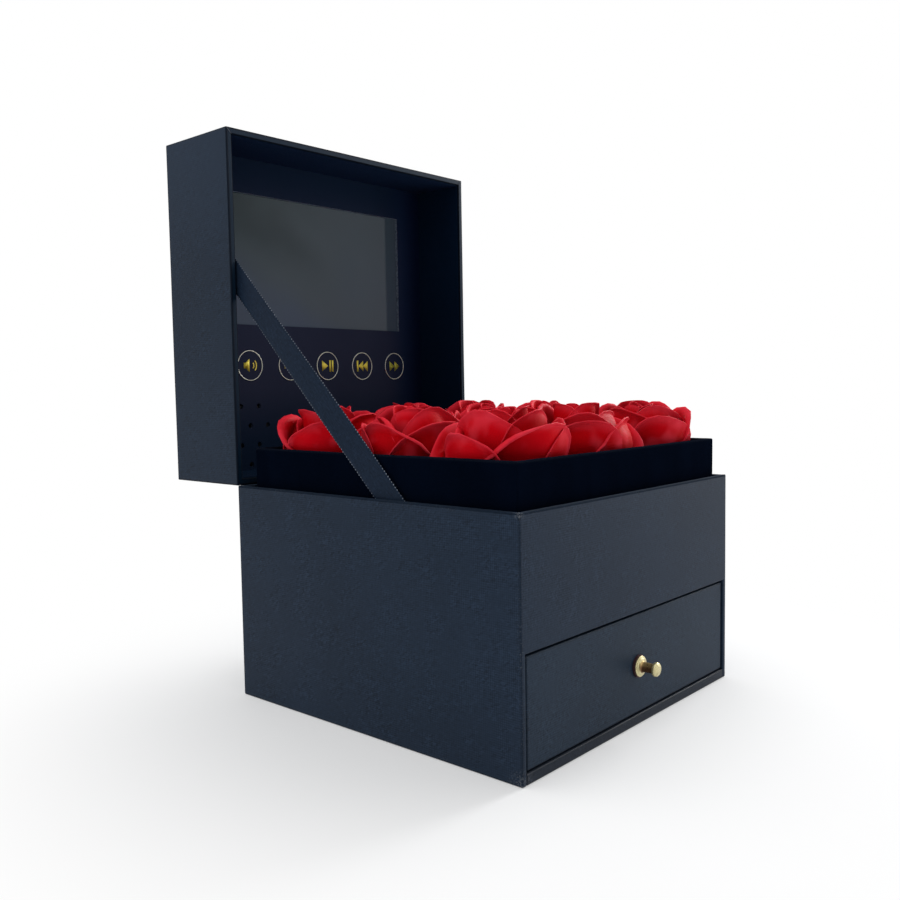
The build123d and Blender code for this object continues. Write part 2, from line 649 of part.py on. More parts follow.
def main_board():
    board = lid_block(BOARD_X0, BOARD_X1, BOARD_UP0, BOARD_UP1, BOARD_DEEP, BOARD_BACK)
    for x, up in standoff_places():
        board -= lid_rod(x, up, BOARD_DEEP - CUT, BOARD_BACK + CUT, SCREW_R + SCREW_GAP)
    return board


def board_standoffs():
    bore_end = BOARD_DEEP + BOARD_SCREW_L + SCREW_GAP
    posts = []
    for x, up in standoff_places():
        post = lid_rod(x, up, BOARD_BACK, LID_FACE_DEEP, STANDOFF_R)
        posts.append(post - lid_rod(x, up, BOARD_BACK - CUT, bore_end, SCREW_R + SCREW_GAP))
    return group(posts)


def board_screws():
    screws = []
    for x, up in standoff_places():
        head = lid_rod(x, up, BOARD_DEEP - BOARD_SCREW_HEAD_T, BOARD_DEEP, BOARD_SCREW_HEAD_R)
        screws.append(head + lid_rod(x, up, BOARD_DEEP, BOARD_DEEP + BOARD_SCREW_L, SCREW_R))
    return group(screws)


def board_chips():
    chips = []
    for across, along, w, h, t in CHIPS:
        x = BOARD_X0 + across
        up = BOARD_UP0 + along
        chips.append(lid_block(x - w / 2, x + w / 2, up - h / 2, up + h / 2, BOARD_DEEP - t, BOARD_DEEP))
    return group(chips)


def connector_at_top(x, width, height):
    """A connector on the main board's upper edge."""
    foot = BOARD_UP1 - CONNECTOR_L
    return lid_block(x - width / 2, x + width / 2, foot, BOARD_UP1, BOARD_DEEP - height, BOARD_DEEP)


def board_connectors():
    screen = connector_at_top(LCD_FLEX_X, LCD_FLEX_W + 2 * CONNECTOR_MARGIN, FLAT_CONNECTOR_H)
    keys = connector_at_top(KEY_FLEX_X, KEY_FLEX_W + 2 * CONNECTOR_MARGIN, FLAT_CONNECTOR_H)
    battery_plug = connector_at_top(BATTERY_LEAD_X, LEAD_CONNECTOR_W, LEAD_CONNECTOR_H)
    half = LEAD_CONNECTOR_W / 2
    speaker_plug = lid_block(BOARD_X0, BOARD_X0 + CONNECTOR_L, SPEAKER_UP - half, SPEAKER_UP + half,
                             BOARD_DEEP - LEAD_CONNECTOR_H, BOARD_DEEP)
    foot = key_connector_up()
    half = KEY_FLEX_W / 2 + CONNECTOR_MARGIN
    key_board_end = lid_block(KEY_FLEX_X - half, KEY_FLEX_X + half, foot, foot + CONNECTOR_L,
                              KEY_BOARD_BACK, KEY_BOARD_BACK + FLAT_CONNECTOR_H)
    return group([screen, keys, battery_plug, speaker_plug, key_board_end])


def usb_socket():
    """The charging socket on the board's front face, with its mouth at the lid's right wall."""
    x1 = FRAME_OUTER_X
    socket = lid_block(x1 - SOCKET_L, x1, PORT_UP - SOCKET_W / 2, PORT_UP + SOCKET_W / 2,
                       BOARD_DEEP - SOCKET_H, BOARD_DEEP)
    half_w = SOCKET_W / 2 - SOCKET_SKIN
    half_h = SOCKET_H / 2 - SOCKET_SKIN
    socket -= lid_block(x1 - SOCKET_MOUTH, x1 + CUT, PORT_UP - half_w, PORT_UP + half_w,
                        PORT_DEEP - half_h, PORT_DEEP + half_h)
    return socket + lid_block(x1 - SOCKET_MOUTH, x1 - SOCKET_SKIN, PORT_UP - TONGUE_W / 2,
                              PORT_UP + TONGUE_W / 2, PORT_DEEP - TONGUE_T / 2, PORT_DEEP + TONGUE_T / 2)


def battery():
    cell = lid_block(BATTERY_X1 - BATTERY_W, BATTERY_X1, BATTERY_UP0, BATTERY_UP0 + BATTERY_H,
                     LID_FACE_DEEP - BATTERY_T, LID_FACE_DEEP)
    return fillet(cell.edges().filter_by(Axis.X), BATTERY_R)


def battery_leads():
    leads = []
    cell_middle = LID_FACE_DEEP - BATTERY_T / 2
    run = (BATTERY_UP0 - BOARD_UP1) / 3
    for side in (-1, 1):
        x = BATTERY_LEAD_X + side * LEAD_PITCH / 2
        route = [(BATTERY_UP0, cell_middle), (BATTERY_UP0 - run, cell_middle),
                 (BOARD_UP1 + run, LEAD_DEEP), (BOARD_UP1, LEAD_DEEP)]
        points = [(x, HINGE_Y + deep, BASE_H + up) for up, deep in route]
        leads.append(wire(points, Plane(origin=points[0], z_dir=(0, 0, -1))))
    return group(leads)


# ---- drawer ----
def drawer_front():
    foot = BOTTOM_T + FRONT_FOOT_GAP
    front = block(-DRAWER_X, DRAWER_X, FRONT_FACE_Y, DRAWER_FRONT_Y, foot, BAY_TOP - FRONT_TOP_GAP)
    front = fillet(front.faces().sort_by(Axis.Y)[0].edges(), EDGE_R)
    return front - rod_y(0, KNOB_Z, FRONT_FACE_Y - CUT, DRAWER_FRONT_Y + CUT, KNOB_SCREW_R + HOLE_GAP)


def drawer_tray():
    tray = block(-DRAWER_X, DRAWER_X, DRAWER_FRONT_Y, DRAWER_BACK_Y, DRAWER_Z, DRAWER_TOP)
    inner_x = DRAWER_X - DRAWER_WALL
    inner_front = DRAWER_FRONT_Y + DRAWER_WALL
    inner_back = DRAWER_BACK_Y - DRAWER_WALL
    tray -= block(-inner_x, inner_x, inner_front, inner_back, DRAWER_Z + DRAWER_FLOOR, DRAWER_TOP + CUT)
    return tray - rod_y(0, KNOB_Z, DRAWER_FRONT_Y - CUT, inner_front + CUT, KNOB_SCREW_R + HOLE_GAP)


def drawer_liner():
    inner_x = DRAWER_X - DRAWER_WALL - DRAWER_LINER_GAP
    front = DRAWER_FRONT_Y + DRAWER_WALL + DRAWER_LINER_GAP
    back = DRAWER_BACK_Y - DRAWER_WALL - DRAWER_LINER_GAP
    floor = DRAWER_Z + DRAWER_FLOOR
    return block(-inner_x, inner_x, front, back, floor, floor + DRAWER_LINER_T)


def knob_rosette():
    disc = rod_y(0, KNOB_Z, FRONT_FACE_Y - ROSETTE_T, FRONT_FACE_Y, ROSETTE_R)
    return disc - rod_y(0, KNOB_Z, FRONT_FACE_Y - ROSETTE_T - CUT, FRONT_FACE_Y + CUT, KNOB_SCREW_R + HOLE_GAP)


def knob():
    """Flange, waisted stem and button head, turned about the knob's axis and pointing forward."""
    seat_y = FRONT_FACE_Y - ROSETTE_T
    head_y = KNOB_L - KNOB_HEAD_T
    outline = [
        (0, 0), (0, KNOB_FLANGE_R), (-KNOB_FLANGE_T, KNOB_FLANGE_R - KNOB_ROUND),
        (-KNOB_FLANGE_T - KNOB_ROUND, KNOB_STEM_R + KNOB_ROUND), (-KNOB_FLANGE_T - 3 * KNOB_ROUND, KNOB_STEM_R),
        (-head_y, KNOB_NECK_R), (-head_y, KNOB_HEAD_R - KNOB_ROUND), (-head_y - KNOB_ROUND, KNOB_HEAD_R),
        (-KNOB_L + KNOB_ROUND, KNOB_HEAD_R), (-KNOB_L, KNOB_HEAD_R - 2 * KNOB_ROUND), (-KNOB_L, 0),
    ]
    turned = turned_y(outline, 0, seat_y, KNOB_Z)
    bore_end = seat_y - KNOB_SCREW_BITE - HOLE_GAP
    return turned - rod_y(0, KNOB_Z, bore_end, seat_y + CUT, KNOB_SCREW_R + SCREW_GAP)


def knob_washer():
    y0 = DRAWER_FRONT_Y + DRAWER_WALL
    disc = rod_y(0, KNOB_Z, y0, y0 + WASHER_T, WASHER_R)
    return disc - rod_y(0, KNOB_Z, y0 - CUT, y0 + WASHER_T + CUT, KNOB_SCREW_R + HOLE_GAP)


def knob_screw():
    head_y = DRAWER_FRONT_Y + DRAWER_WALL + WASHER_T
    head = rod_y(0, KNOB_Z, head_y, head_y + KNOB_SCREW_HEAD_T, KNOB_SCREW_HEAD_R)
    return head + rod_y(0, KNOB_Z, FRONT_FACE_Y - ROSETTE_T - KNOB_SCREW_BITE, head_y, KNOB_SCREW_R)


# ---- writing ----
PLAIN_PARTS = [
    base_shell, bottom_board, shelf_board, flower_tray, neck_spacers, foam_block, rose_stems,
    hinge_cloth_base, ribbon_stay, lid_shell, hinge_cloth_lid, lid_liner, control_panel,
    panel_support_frame, lcd_glass, lcd_backlight, lcd_frame, lcd_flex_cable, key_board, key_switches,
    key_board_posts, key_board_screws, key_flex_cable, speaker_basket, speaker_cone, speaker_magnet,
    speaker_leads, main_board, board_standoffs, board_screws, board_chips, board_connectors,
    usb_socket, battery, battery_leads, drawer_front, drawer_tray, drawer_liner, knob_rosette, knob,
    knob_washer, knob_screw,
]


def all_parts():
    parts = {maker.__name__: maker() for maker in PLAIN_PARTS}
    for name, x, y in rose_places():
        parts[name] = rose(x, y)
    for name, x in zip(BUTTON_NAMES, button_xs()):
        parts[f"button_{name}"] = button(x)
    return parts


os.makedirs("parts", exist_ok=True)
for name, solid in all_parts().items():
    export_step(solid, f"parts/{name}.step")
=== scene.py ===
"""Looks of a wrapped gift box with a screen in its lid, nine roses in a velvet tray and a drawer."""

import math
import random

import bmesh
import bpy
import numpy as np
from mathutils import Matrix, Vector, noise


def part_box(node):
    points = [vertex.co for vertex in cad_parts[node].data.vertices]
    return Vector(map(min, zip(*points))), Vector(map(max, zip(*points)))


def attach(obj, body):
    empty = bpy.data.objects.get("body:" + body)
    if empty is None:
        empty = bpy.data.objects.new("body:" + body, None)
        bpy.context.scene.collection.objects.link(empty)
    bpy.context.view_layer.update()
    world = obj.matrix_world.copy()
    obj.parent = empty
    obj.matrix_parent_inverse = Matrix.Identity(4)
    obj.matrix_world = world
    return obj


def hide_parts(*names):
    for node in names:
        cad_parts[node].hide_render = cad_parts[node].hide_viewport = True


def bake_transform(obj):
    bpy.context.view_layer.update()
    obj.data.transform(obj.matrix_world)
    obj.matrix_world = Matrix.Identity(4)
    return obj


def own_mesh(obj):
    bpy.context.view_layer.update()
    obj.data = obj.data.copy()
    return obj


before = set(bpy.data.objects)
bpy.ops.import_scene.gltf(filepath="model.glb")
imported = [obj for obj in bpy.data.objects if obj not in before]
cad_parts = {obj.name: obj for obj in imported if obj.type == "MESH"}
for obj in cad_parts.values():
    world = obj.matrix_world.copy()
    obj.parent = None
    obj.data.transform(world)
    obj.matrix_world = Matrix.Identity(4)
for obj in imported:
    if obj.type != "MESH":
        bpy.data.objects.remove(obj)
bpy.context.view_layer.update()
scene = bpy.context.scene
MM = 0.001
NOISE_SEED = 4
noise.seed_set(NOISE_SEED)  # left unset, noise_vector is seeded from the clock

# ---- the part's own places, in millimetres
HALF_W = 107.0
BASE_H = 129.0
BASE_WALL = 3.3
BAY_TOP = 62.6
LID_WALL = 4.0
LID_FRONT, LID_BACK, LID_TOP = 107.3, 172.0, 343.0
TRAY_HALF, TRAY_REAR = 101.0, 96.5
TRAY_FOOT, TRAY_FLOOR, TRAY_RIM = 65.1, 93.0, 152.0
TRAY_WALL = 3.0
FOAM_LOW, FOAM_HIGH = (-97.6, -97.6, 95.1), (97.6, 93.1, 127.0)
BOARD_LOW, BOARD_HIGH = (-103.7, -HALF_W, 0.0), (103.7, 103.7, 5.5)
LID_LOW, LID_HIGH = (-HALF_W, LID_FRONT, BASE_H), (HALF_W, LID_BACK, LID_TOP)
BASE_LOW, BASE_HIGH = (-HALF_W, -HALF_W, 0.0), (HALF_W, HALF_W, BASE_H)
DRAWER_LOW, DRAWER_HIGH = (-102.2, -106.2, 6.4), (102.2, -102.2, 61.3)
DRAWER_BOX = ((-102.2, -102.2, 5.8), (102.2, 100.0, 53.8))
DRAWER_HOLLOW = ((-99.7, -99.7, 7.8), (99.7, 97.5, 60.0))
DRAWER_PAD = ((-99.3, -99.3, 7.9), (99.3, 97.1, 9.8))
PORT_Y, PORT_Z = (158.4, 165.2), (158.0, 170.0)
CAP_FRONT = 148.8
CAP_R = 10.25
ROSE_FOOT = 128.5
HINGE = (107.0, 129.0)

# ---- the cloth's sizes, in metres
RIBBON_W, RIBBON_TAIL, RIBBON_THICK = 0.0157, 0.016, 0.00036
SELVEDGE_PITCH = 0.0019
CLOTH_HALF, CLOTH_REACH, CLOTH_OUT, CLOTH_THICK = 0.103, 0.018, 0.00022, 0.0003


# ---- shader shorthand
class Nodes:
    """Short ways to add nodes to a node tree."""

    def __init__(self, tree):
        self.tree = tree

    def add(self, kind, **settings):
        made = self.tree.nodes.new("ShaderNode" + kind)
        for key, value in settings.items():
            setattr(made, key, value)
        return made

    def put(self, socket, value):
        if isinstance(value, bpy.types.NodeSocket):
            self.tree.links.new(value, socket)
        elif socket.type == "RGBA" and len(value) == 3:
            socket.default_value = (*value, 1.0)
        else:
            socket.default_value = value

    def math(self, operation, a, b=0.0):
        made = self.add("Math", operation=operation)
        self.put(made.inputs[0], a)
        self.put(made.inputs[1], b)
        return made.outputs[0]

    def plus(self, a, b):
        return self.math("ADD", a, b)

    def minus(self, a, b):
        return self.math("SUBTRACT", a, b)

    def times(self, a, b):
        return self.math("MULTIPLY", a, b)

    def magnitude(self, a):
        return self.math("ABSOLUTE", a)

    def extreme(self, operation, *values):
        """The MINIMUM or MAXIMUM of several values."""
        found = values[0]
        for value in values[1:]:
            found = self.math(operation, found, value)
        return found

    def ramp(self, value, low, high, to_low=0.0, to_high=1.0, smooth=True):
        made = self.add("MapRange", clamp=True)
        made.interpolation_type = "SMOOTHSTEP" if smooth else "LINEAR"
        self.put(made.inputs["Value"], value)
        for name, number in zip(("From Min", "From Max", "To Min", "To Max"), (low, high, to_low, to_high)):
            made.inputs[name].default_value = number
        return made.outputs[0]

    def blend(self, share, a, b):
        made = self.add("Mix", data_type="RGBA")
        self.put(made.inputs["Factor"], share)
        self.put(made.inputs[6], a)
        self.put(made.inputs[7], b)
        return made.outputs[2]

    def mix_shaders(self, share, a, b):
        made = self.add("MixShader")
        for socket, value in zip(made.inputs, (share, a, b)):
            self.put(socket, value)
        return made.outputs[0]

    def axes(self, place):
        made = self.add("SeparateXYZ")
        self.put(made.inputs[0], place)
        return made.outputs

    def seen(self):
        """1 for what the camera sees, directly, in a reflection or through glass."""
        ray = self.add("LightPath").outputs
        return self.extreme("MAXIMUM", ray["Is Camera Ray"], ray["Is Glossy Ray"], ray["Is Transmission Ray"])


class Finish(Nodes):
    """A material. Its patterns are placed by the piece's own coordinates."""

    def __init__(self, name):
        self.material = bpy.data.materials.new(name)
        self.material.use_nodes = True
        super().__init__(self.material.node_tree)
        self.surface = self.tree.nodes["Principled BSDF"]
        self.place = self.add("TexCoord").outputs["Object"]

    def finish(self, colour, rough, **sockets):
        """The material, with its surface's sockets set or linked. A socket's name has _ for a space."""
        for key, value in {"Base_Color": colour, "Roughness": rough, **sockets}.items():
            self.put(self.surface.inputs[key.replace("_", " ")], value)
        return self.material

    def axes(self, place=None):
        return super().axes(place or self.place)

    def facing(self):
        """The way the face looks, as x, y and z."""
        return super().axes(self.add("NewGeometry").outputs["True Normal"])

    def stretch(self, scale=(1, 1, 1), turn=(0, 0, 0), place=None):
        made = self.add("Mapping")
        self.put(made.inputs["Vector"], place or self.place)
        made.inputs["Scale"].default_value = scale
        made.inputs["Rotation"].default_value = [math.radians(a) for a in turn]
        return made.outputs[0]

    def noise(self, scale, detail=2.0, rough=0.5, place=None):
        made = self.add("TexNoise")
        self.put(made.inputs["Vector"], place or self.place)
        made.inputs["Scale"].default_value = scale
        made.inputs["Detail"].default_value = detail
        made.inputs["Roughness"].default_value = rough
        return made.outputs["Fac"]

    def cells(self, scale, output="Distance", feature="F1", place=None):
        made = self.add("TexVoronoi", feature=feature)
        self.put(made.inputs["Vector"], place or self.place)
        made.inputs["Scale"].default_value = scale
        return made.outputs[output]

    def bump(self, height, strength, distance):
        made = self.add("Bump")
        made.inputs["Strength"].default_value = strength
        made.inputs["Distance"].default_value = distance
        self.put(made.inputs["Height"], height)
        return made.outputs[0]

    def attribute(self, name):
        return self.add("Attribute", attribute_name=name).outputs["Vector"]


def tint(colour, share):
    return [c * share for c in colour]


def edge_distance(f, low, high):
    """How far a point of a box's skin is from the nearest edge of the box, in metres."""
    gaps = []
    for axis, a, b in zip(f.axes(), low, high):
        middle, half = (a + b) / 2 * MM, (b - a) / 2 * MM
        gaps.append(f.minus(half, f.magnitude(f.minus(axis, middle))))
    x, y, z = gaps
    return f.extreme("MINIMUM", f.plus(x, y), f.plus(y, z), f.plus(x, z))


def wrap_paper(name, low, high, colour=(0.0140, 0.0250, 0.0450), rim=None, lip=None, scuffs=()):
    """Dark slate paper with a fine crosswise pressed grain, darker along its folds, with worn flecks there.

    rim is the y of a front rim that darkens downwards; with it the lid's upper part gets a painted highlight and the
    rim's inner edge painted shade. lip is the height of a top edge darkened by painted shade and made matt; scuffs
    are rubbed corners, each with its reach and strength.
    """
    f = Finish(name)
    x, y, z = f.axes()
    level = f.plus(x, y)
    turns = 2 * math.pi / 0.0023
    left = f.math("SINE", f.times(f.plus(level, z), turns))
    right = f.math("SINE", f.times(f.minus(level, z), turns))
    cross = f.times(left, right)
    slant = f.stretch(turn=(35, 35, 20))
    pressed = f.stretch((1, 0.5, 1), place=slant)
    grain = f.cells(1050, place=pressed)
    chance = f.axes(f.cells(1050, "Color", place=pressed))
    fine = f.noise(4200, 3.0, 0.7)
    cloud = f.noise(14, 3.0)
    patch = f.ramp(f.noise(55, 2.0, 0.6), 0.35, 0.65, 0.30, 1.0)
    tone = f.blend(f.ramp(cloud, 0.3, 0.7), tint(colour, 0.92), tint(colour, 1.08))
    for value, start, end, share, shade in (
        (cross, 0.1, 0.9, 0.42, 1.9),
        (cross, -0.1, -0.9, 0.42, 0.35),
        (chance[0], 0.60, 1.0, 0.38, 1.9),
        (chance[1], 0.60, 1.0, 0.42, 0.30),
    ):
        tone = f.blend(f.times(f.ramp(value, start, end), f.times(patch, share)), tone, tint(colour, shade))
    matt_painted_shade = 0.0
    edge = edge_distance(f, low, high)
    wander = f.plus(edge, f.ramp(f.noise(300, 2.0), 0.2, 0.8, -0.00030, 0.00030))
    fold = f.ramp(wander, 0.0006, 0.0014, 1.0, 0.0)
    tone = f.blend(f.times(fold, 0.85 if rim else 0.30), tone, tint(colour, 0.15))
    worn = f.times(f.ramp(edge, 0.0004, 0.0035, 1.0, 0.0), f.ramp(f.noise(1300, 2.0, 0.6), 0.58, 0.68))
    rare = f.ramp(f.noise(40, 2.0), 0.45, 0.65, 0.05, 0.6)
    tone = f.blend(f.times(worn, rare), tone, (0.080, 0.090, 0.105))
    if rim:
        # painted highlight: the lid's upper part is painted lighter, as gloss catching the light
        tone = f.blend(f.ramp(z, 0.25, 0.34, 0.0, 0.5), tone, tint(colour, 1.5))
        front = f.ramp(y, (rim + 0.3) * MM, (rim + 1.2) * MM, 1.0, 0.0)
        lower = f.ramp(z, 0.335, 0.165, 0.0, 0.95, smooth=False)
        tone = f.blend(f.times(front, 0.8), tone, (0.0068, 0.0165, 0.0310))
        tone = f.blend(f.times(front, lower), tone, (0.0008, 0.0090, 0.0220))
        side = f.minus(HALF_W * MM, f.magnitude(x))
        deep = f.extreme("MINIMUM", side, f.minus(z, low[2] * MM), f.minus(high[2] * MM, z))
        at_front = f.ramp(y, (rim + 0.25) * MM, (rim + 0.6) * MM, 1.0, 0.0)
        crease = f.times(f.ramp(deep, 0.0009, 0.0015, 0.75, 0.0), at_front)
        tone = f.blend(crease, tone, (0.0010, 0.0030, 0.0085))
        # painted shade on the rim's inner edge, over its highlight; the same mask also makes it matt
        matt_painted_shade = f.times(f.ramp(deep, 0.0031, 0.0035), f.ramp(y, (rim + 2.0) * MM, (rim + 4.0) * MM, 0.95, 0.0))
        tone = f.blend(matt_painted_shade, tone, (0.0004, 0.0024, 0.0070))
    if lip:
        # painted shade along the top edge, over its highlight; the same mask also makes it matt
        matt_painted_shade = f.ramp(z, (lip - 1.5) * MM, (lip - 0.7) * MM)
        tone = f.blend(f.times(matt_painted_shade, 0.3), tone, tint(colour, 0.3))
    for corner, reach, strength in scuffs:
        away = f.add("VectorMath", operation="DISTANCE")
        f.put(away.inputs[0], f.place)
        away.inputs[1].default_value = [c * MM for c in corner]
        near = f.ramp(away.outputs["Value"], 0.001, reach, strength, 0.0)
        rubbed = f.ramp(f.noise(1100, 4.0, 0.75, slant), 0.50, 0.60)
        tone = f.blend(f.times(near, rubbed), tone, (0.15, 0.16, 0.18))
    height = f.plus(f.times(grain, 0.8), f.times(fine, 0.5))
    height = f.plus(height, f.times(cross, 0.25))
    return f.finish(
        tone,
        f.math("MAXIMUM", f.ramp(fine, 0.3, 0.7, 0.40, 0.52), matt_painted_shade),
        Specular_IOR_Level=0.08,
        Normal=f.bump(height, 0.22, 0.00010),
    )


def velvet(name, colour=(0.0010, 0.0024, 0.0066), rim=None):
    """Very dark flock whose nap catches a little light, with a paler fuzzy band along its rim."""
    f = Finish(name)
    nap = f.noise(2600, 4.0, 0.75)
    stroke = f.noise(45, 3.0, 0.6, f.stretch((1, 1, 0.35)))
    tone = f.blend(f.ramp(nap, 0.3, 0.75), tint(colour, 0.6), tint(colour, 1.7))
    tone = f.blend(f.ramp(stroke, 0.35, 0.75, 0.0, 0.35), tone, tint(colour, 2.0))
    if rim:
        near = f.ramp(f.magnitude(f.minus(f.axes()[2], rim * MM)), 0.0002, 0.0016, 1.0, 0.0)
        fuzz = f.ramp(f.noise(900, 3.0, 0.7), 0.35, 0.7, 0.25, 1.0)
        tone = f.blend(f.times(near, fuzz), tone, (0.008, 0.010, 0.017))
    return f.finish(
        tone,
        f.ramp(nap, 0.3, 0.7, 0.85, 1.0),
        Specular_IOR_Level=0.0,
        Sheen_Weight=0.012,
        Sheen_Roughness=0.4,
        Sheen_Tint=(0.35, 0.45, 0.70, 1.0),
        Normal=f.bump(nap, 0.5, 0.0003),
    )


def petal_skin(name, colour=(0.59, 0.0004, 0.0042)):
    """Waxy red petals with faint veins: painted shade deepens them towards the foot, pink clouds are partly random
    tone and partly painted sheen, and painted highlights run along the rim.
    """
    f = Finish(name)
    spot = f.attribute("petal")
    across, along, own = f.axes(spot)
    veins = f.noise(9.0, 3.0, 0.6, f.stretch((7.0, 0.8, 3.0), place=spot))
    skin = f.noise(900, 3.0, 0.6)
    deeper = [c * share for c, share in zip(colour, (0.85, 0.8, 0.9))]
    paler = [c * share for c, share in zip(colour, (1.12, 2.2, 1.8))]
    tone = f.blend(f.ramp(own, 0.0, 1.0), deeper, paler)
    # painted shade: deeper red towards the petal's foot
    tone = f.blend(f.ramp(along, 0.42, 0.88, 0.85, 0.0), tone, (0.22, 0.0004, 0.0035))
    tone = f.blend(f.ramp(veins, 0.42, 0.72, 0.0, 0.10), tone, (0.70, 0.006, 0.016))
    # pink clouds: partly random tone, partly painted sheen
    tone = f.blend(f.ramp(f.noise(75, 1.0), 0.50, 0.72, 0.0, 0.42), tone, (0.82, 0.050, 0.080))
    rise = f.times(f.minus(along, 0.5), 2.0)
    reach = f.math("SQRT", f.plus(f.times(across, across), f.times(rise, rise)))
    upper = f.ramp(along, 0.35, 0.70)
    # painted highlights: pink along the upper rim and a thin paler line at its edge
    tone = f.blend(f.times(f.ramp(reach, 0.70, 1.0, 0.0, 0.38), upper), tone, (0.90, 0.056, 0.095))
    tone = f.blend(f.times(f.ramp(reach, 0.98, 0.995, 0.0, 0.12), upper), tone, (0.70, 0.040, 0.055))
    height = f.plus(f.times(veins, 0.8), f.times(skin, 0.3))
    return f.finish(
        tone,
        f.ramp(skin, 0.3, 0.7, 0.42, 0.54),
        Specular_IOR_Level=0.025,
        Normal=f.bump(height, 0.22, 0.0004),
    )


def ribbon_satin(name, colour=(0.0100, 0.0184, 0.0350)):
    """Satin with fine cross ribs, and a scalloped woven selvedge with painted highlights in dots."""
    f = Finish(name)
    spot = f.attribute("strip")
    across, along, _ = f.axes(spot)
    ribs = f.math("SINE", f.times(along, 2 * math.pi / 0.00075))
    warp = f.noise(1.0, 3.0, 0.6, f.stretch((5200, 130, 1), place=spot))
    tone = f.blend(f.ramp(warp, 0.3, 0.7), tint(colour, 0.65), tint(colour, 1.35))
    mottle = f.axes(f.cells(900, "Color"))
    tone = f.blend(f.ramp(mottle[0], 0.55, 1.0, 0.0, 0.26), tone, tint(colour, 2.0))
    tone = f.blend(f.ramp(mottle[1], 0.55, 1.0, 0.0, 0.28), tone, tint(colour, 0.35))
    tone = f.blend(f.ramp(ribs, -0.2, 1.0, 0.0, 0.25), tone, tint(colour, 1.8))
    side = f.magnitude(across)
    # painted highlights in dots along the woven selvedge
    painted_glint_dots = f.ramp(f.math("SINE", f.times(along, 2 * math.pi / SELVEDGE_PITCH)), 0.1, 0.8)
    painted_glint_dots = f.times(painted_glint_dots, f.ramp(f.noise(260), 0.35, 0.6, 0.3, 1.0))
    edge = f.times(f.ramp(side, RIBBON_W / 2 - 0.0006, RIBBON_W / 2 - 0.0003), painted_glint_dots)
    tone = f.blend(edge, tone, (0.24, 0.27, 0.32))
    return f.finish(
        tone,
        f.ramp(warp, 0.2, 0.8, 0.36, 0.52),
        Specular_IOR_Level=0.04,
        Sheen_Weight=0.008,
        Sheen_Roughness=0.3,
        Sheen_Tint=(0.5, 0.6, 0.8, 1.0),
        Normal=f.bump(f.plus(f.times(ribs, 0.5), warp), 0.35, 0.00008),
    )


def liner_paper(name, colour=(0.0015, 0.0090, 0.0250), second=(0.0028, 0.0115, 0.0310)):
    """Smooth dark blue lining paper, with painted light making the faces that look down paler."""
    f = Finish(name)
    fine = f.noise(1800, 3.0, 0.6)
    tone = f.blend(f.ramp(fine, 0.35, 0.70), colour, second)
    tone = f.blend(f.ramp(f.noise(20, 2.0), 0.3, 0.7, 0.0, 0.4), tone, tint(colour, 0.75))
    # painted light: the faces that look down are painted paler, as where more light falls
    tone = f.blend(f.ramp(f.facing()[2], -0.3, -0.8, 0.0, 0.85), tone, (0.0070, 0.0176, 0.0490))
    return f.finish(
        tone,
        f.ramp(fine, 0.3, 0.7, 0.6, 0.8),
        Specular_IOR_Level=0.04,
        Normal=f.bump(fine, 0.3, 0.0001),
    )


def screen_glass(name, askew=0.044, band_at=(-0.046, 0.294)):
    """Switched-off screen: a smooth pane seated a touch askew, dark grey-blue, made uneven and lighter to the right
    by painted reflection.

    askew is its slope from left to right. A soft dark band of painted reflection slants through band_at, an x and z,
    beside a paler blue patch of painted reflection.
    """
    f = Finish(name)
    cloud = f.noise(11)
    x, _, z = f.axes()
    # painted reflection: grey-blue gradients upwards and towards the right
    tone = f.blend(f.ramp(z, 0.228, 0.318), (0.043, 0.062, 0.092), (0.036, 0.060, 0.068))
    tone = f.blend(f.ramp(cloud, 0.35, 0.65, 0.0, 0.7), tone, (0.055, 0.074, 0.086))
    tone = f.blend(f.ramp(x, -0.070, 0.078, 0.0, 0.6), tone, (0.060, 0.082, 0.112))
    # painted reflection: a soft dark slanted band with a paler blue patch beside it
    slant = f.plus(f.times(f.minus(x, band_at[0]), 0.447), f.times(f.minus(z, band_at[1]), 0.894))
    slant = f.plus(slant, f.ramp(f.noise(28, 2.0), 0.2, 0.8, -0.006, 0.006))
    band = f.times(f.ramp(f.magnitude(slant), 0.0, 0.026, 0.50, 0.0), f.ramp(x, -0.030, 0.025, 1.0, 0.0))
    tone = f.blend(f.ramp(slant, -0.020, -0.048, 0.0, 0.42), tone, (0.046, 0.070, 0.142))
    tone = f.blend(band, tone, (0.014, 0.026, 0.032))
    return f.finish(
        tone,
        f.ramp(f.noise(30), 0.3, 0.7, 0.045, 0.07),
        Specular_IOR_Level=0.20,
        Normal=f.bump(f.times(x, askew), 1.0, 1.0),
    )


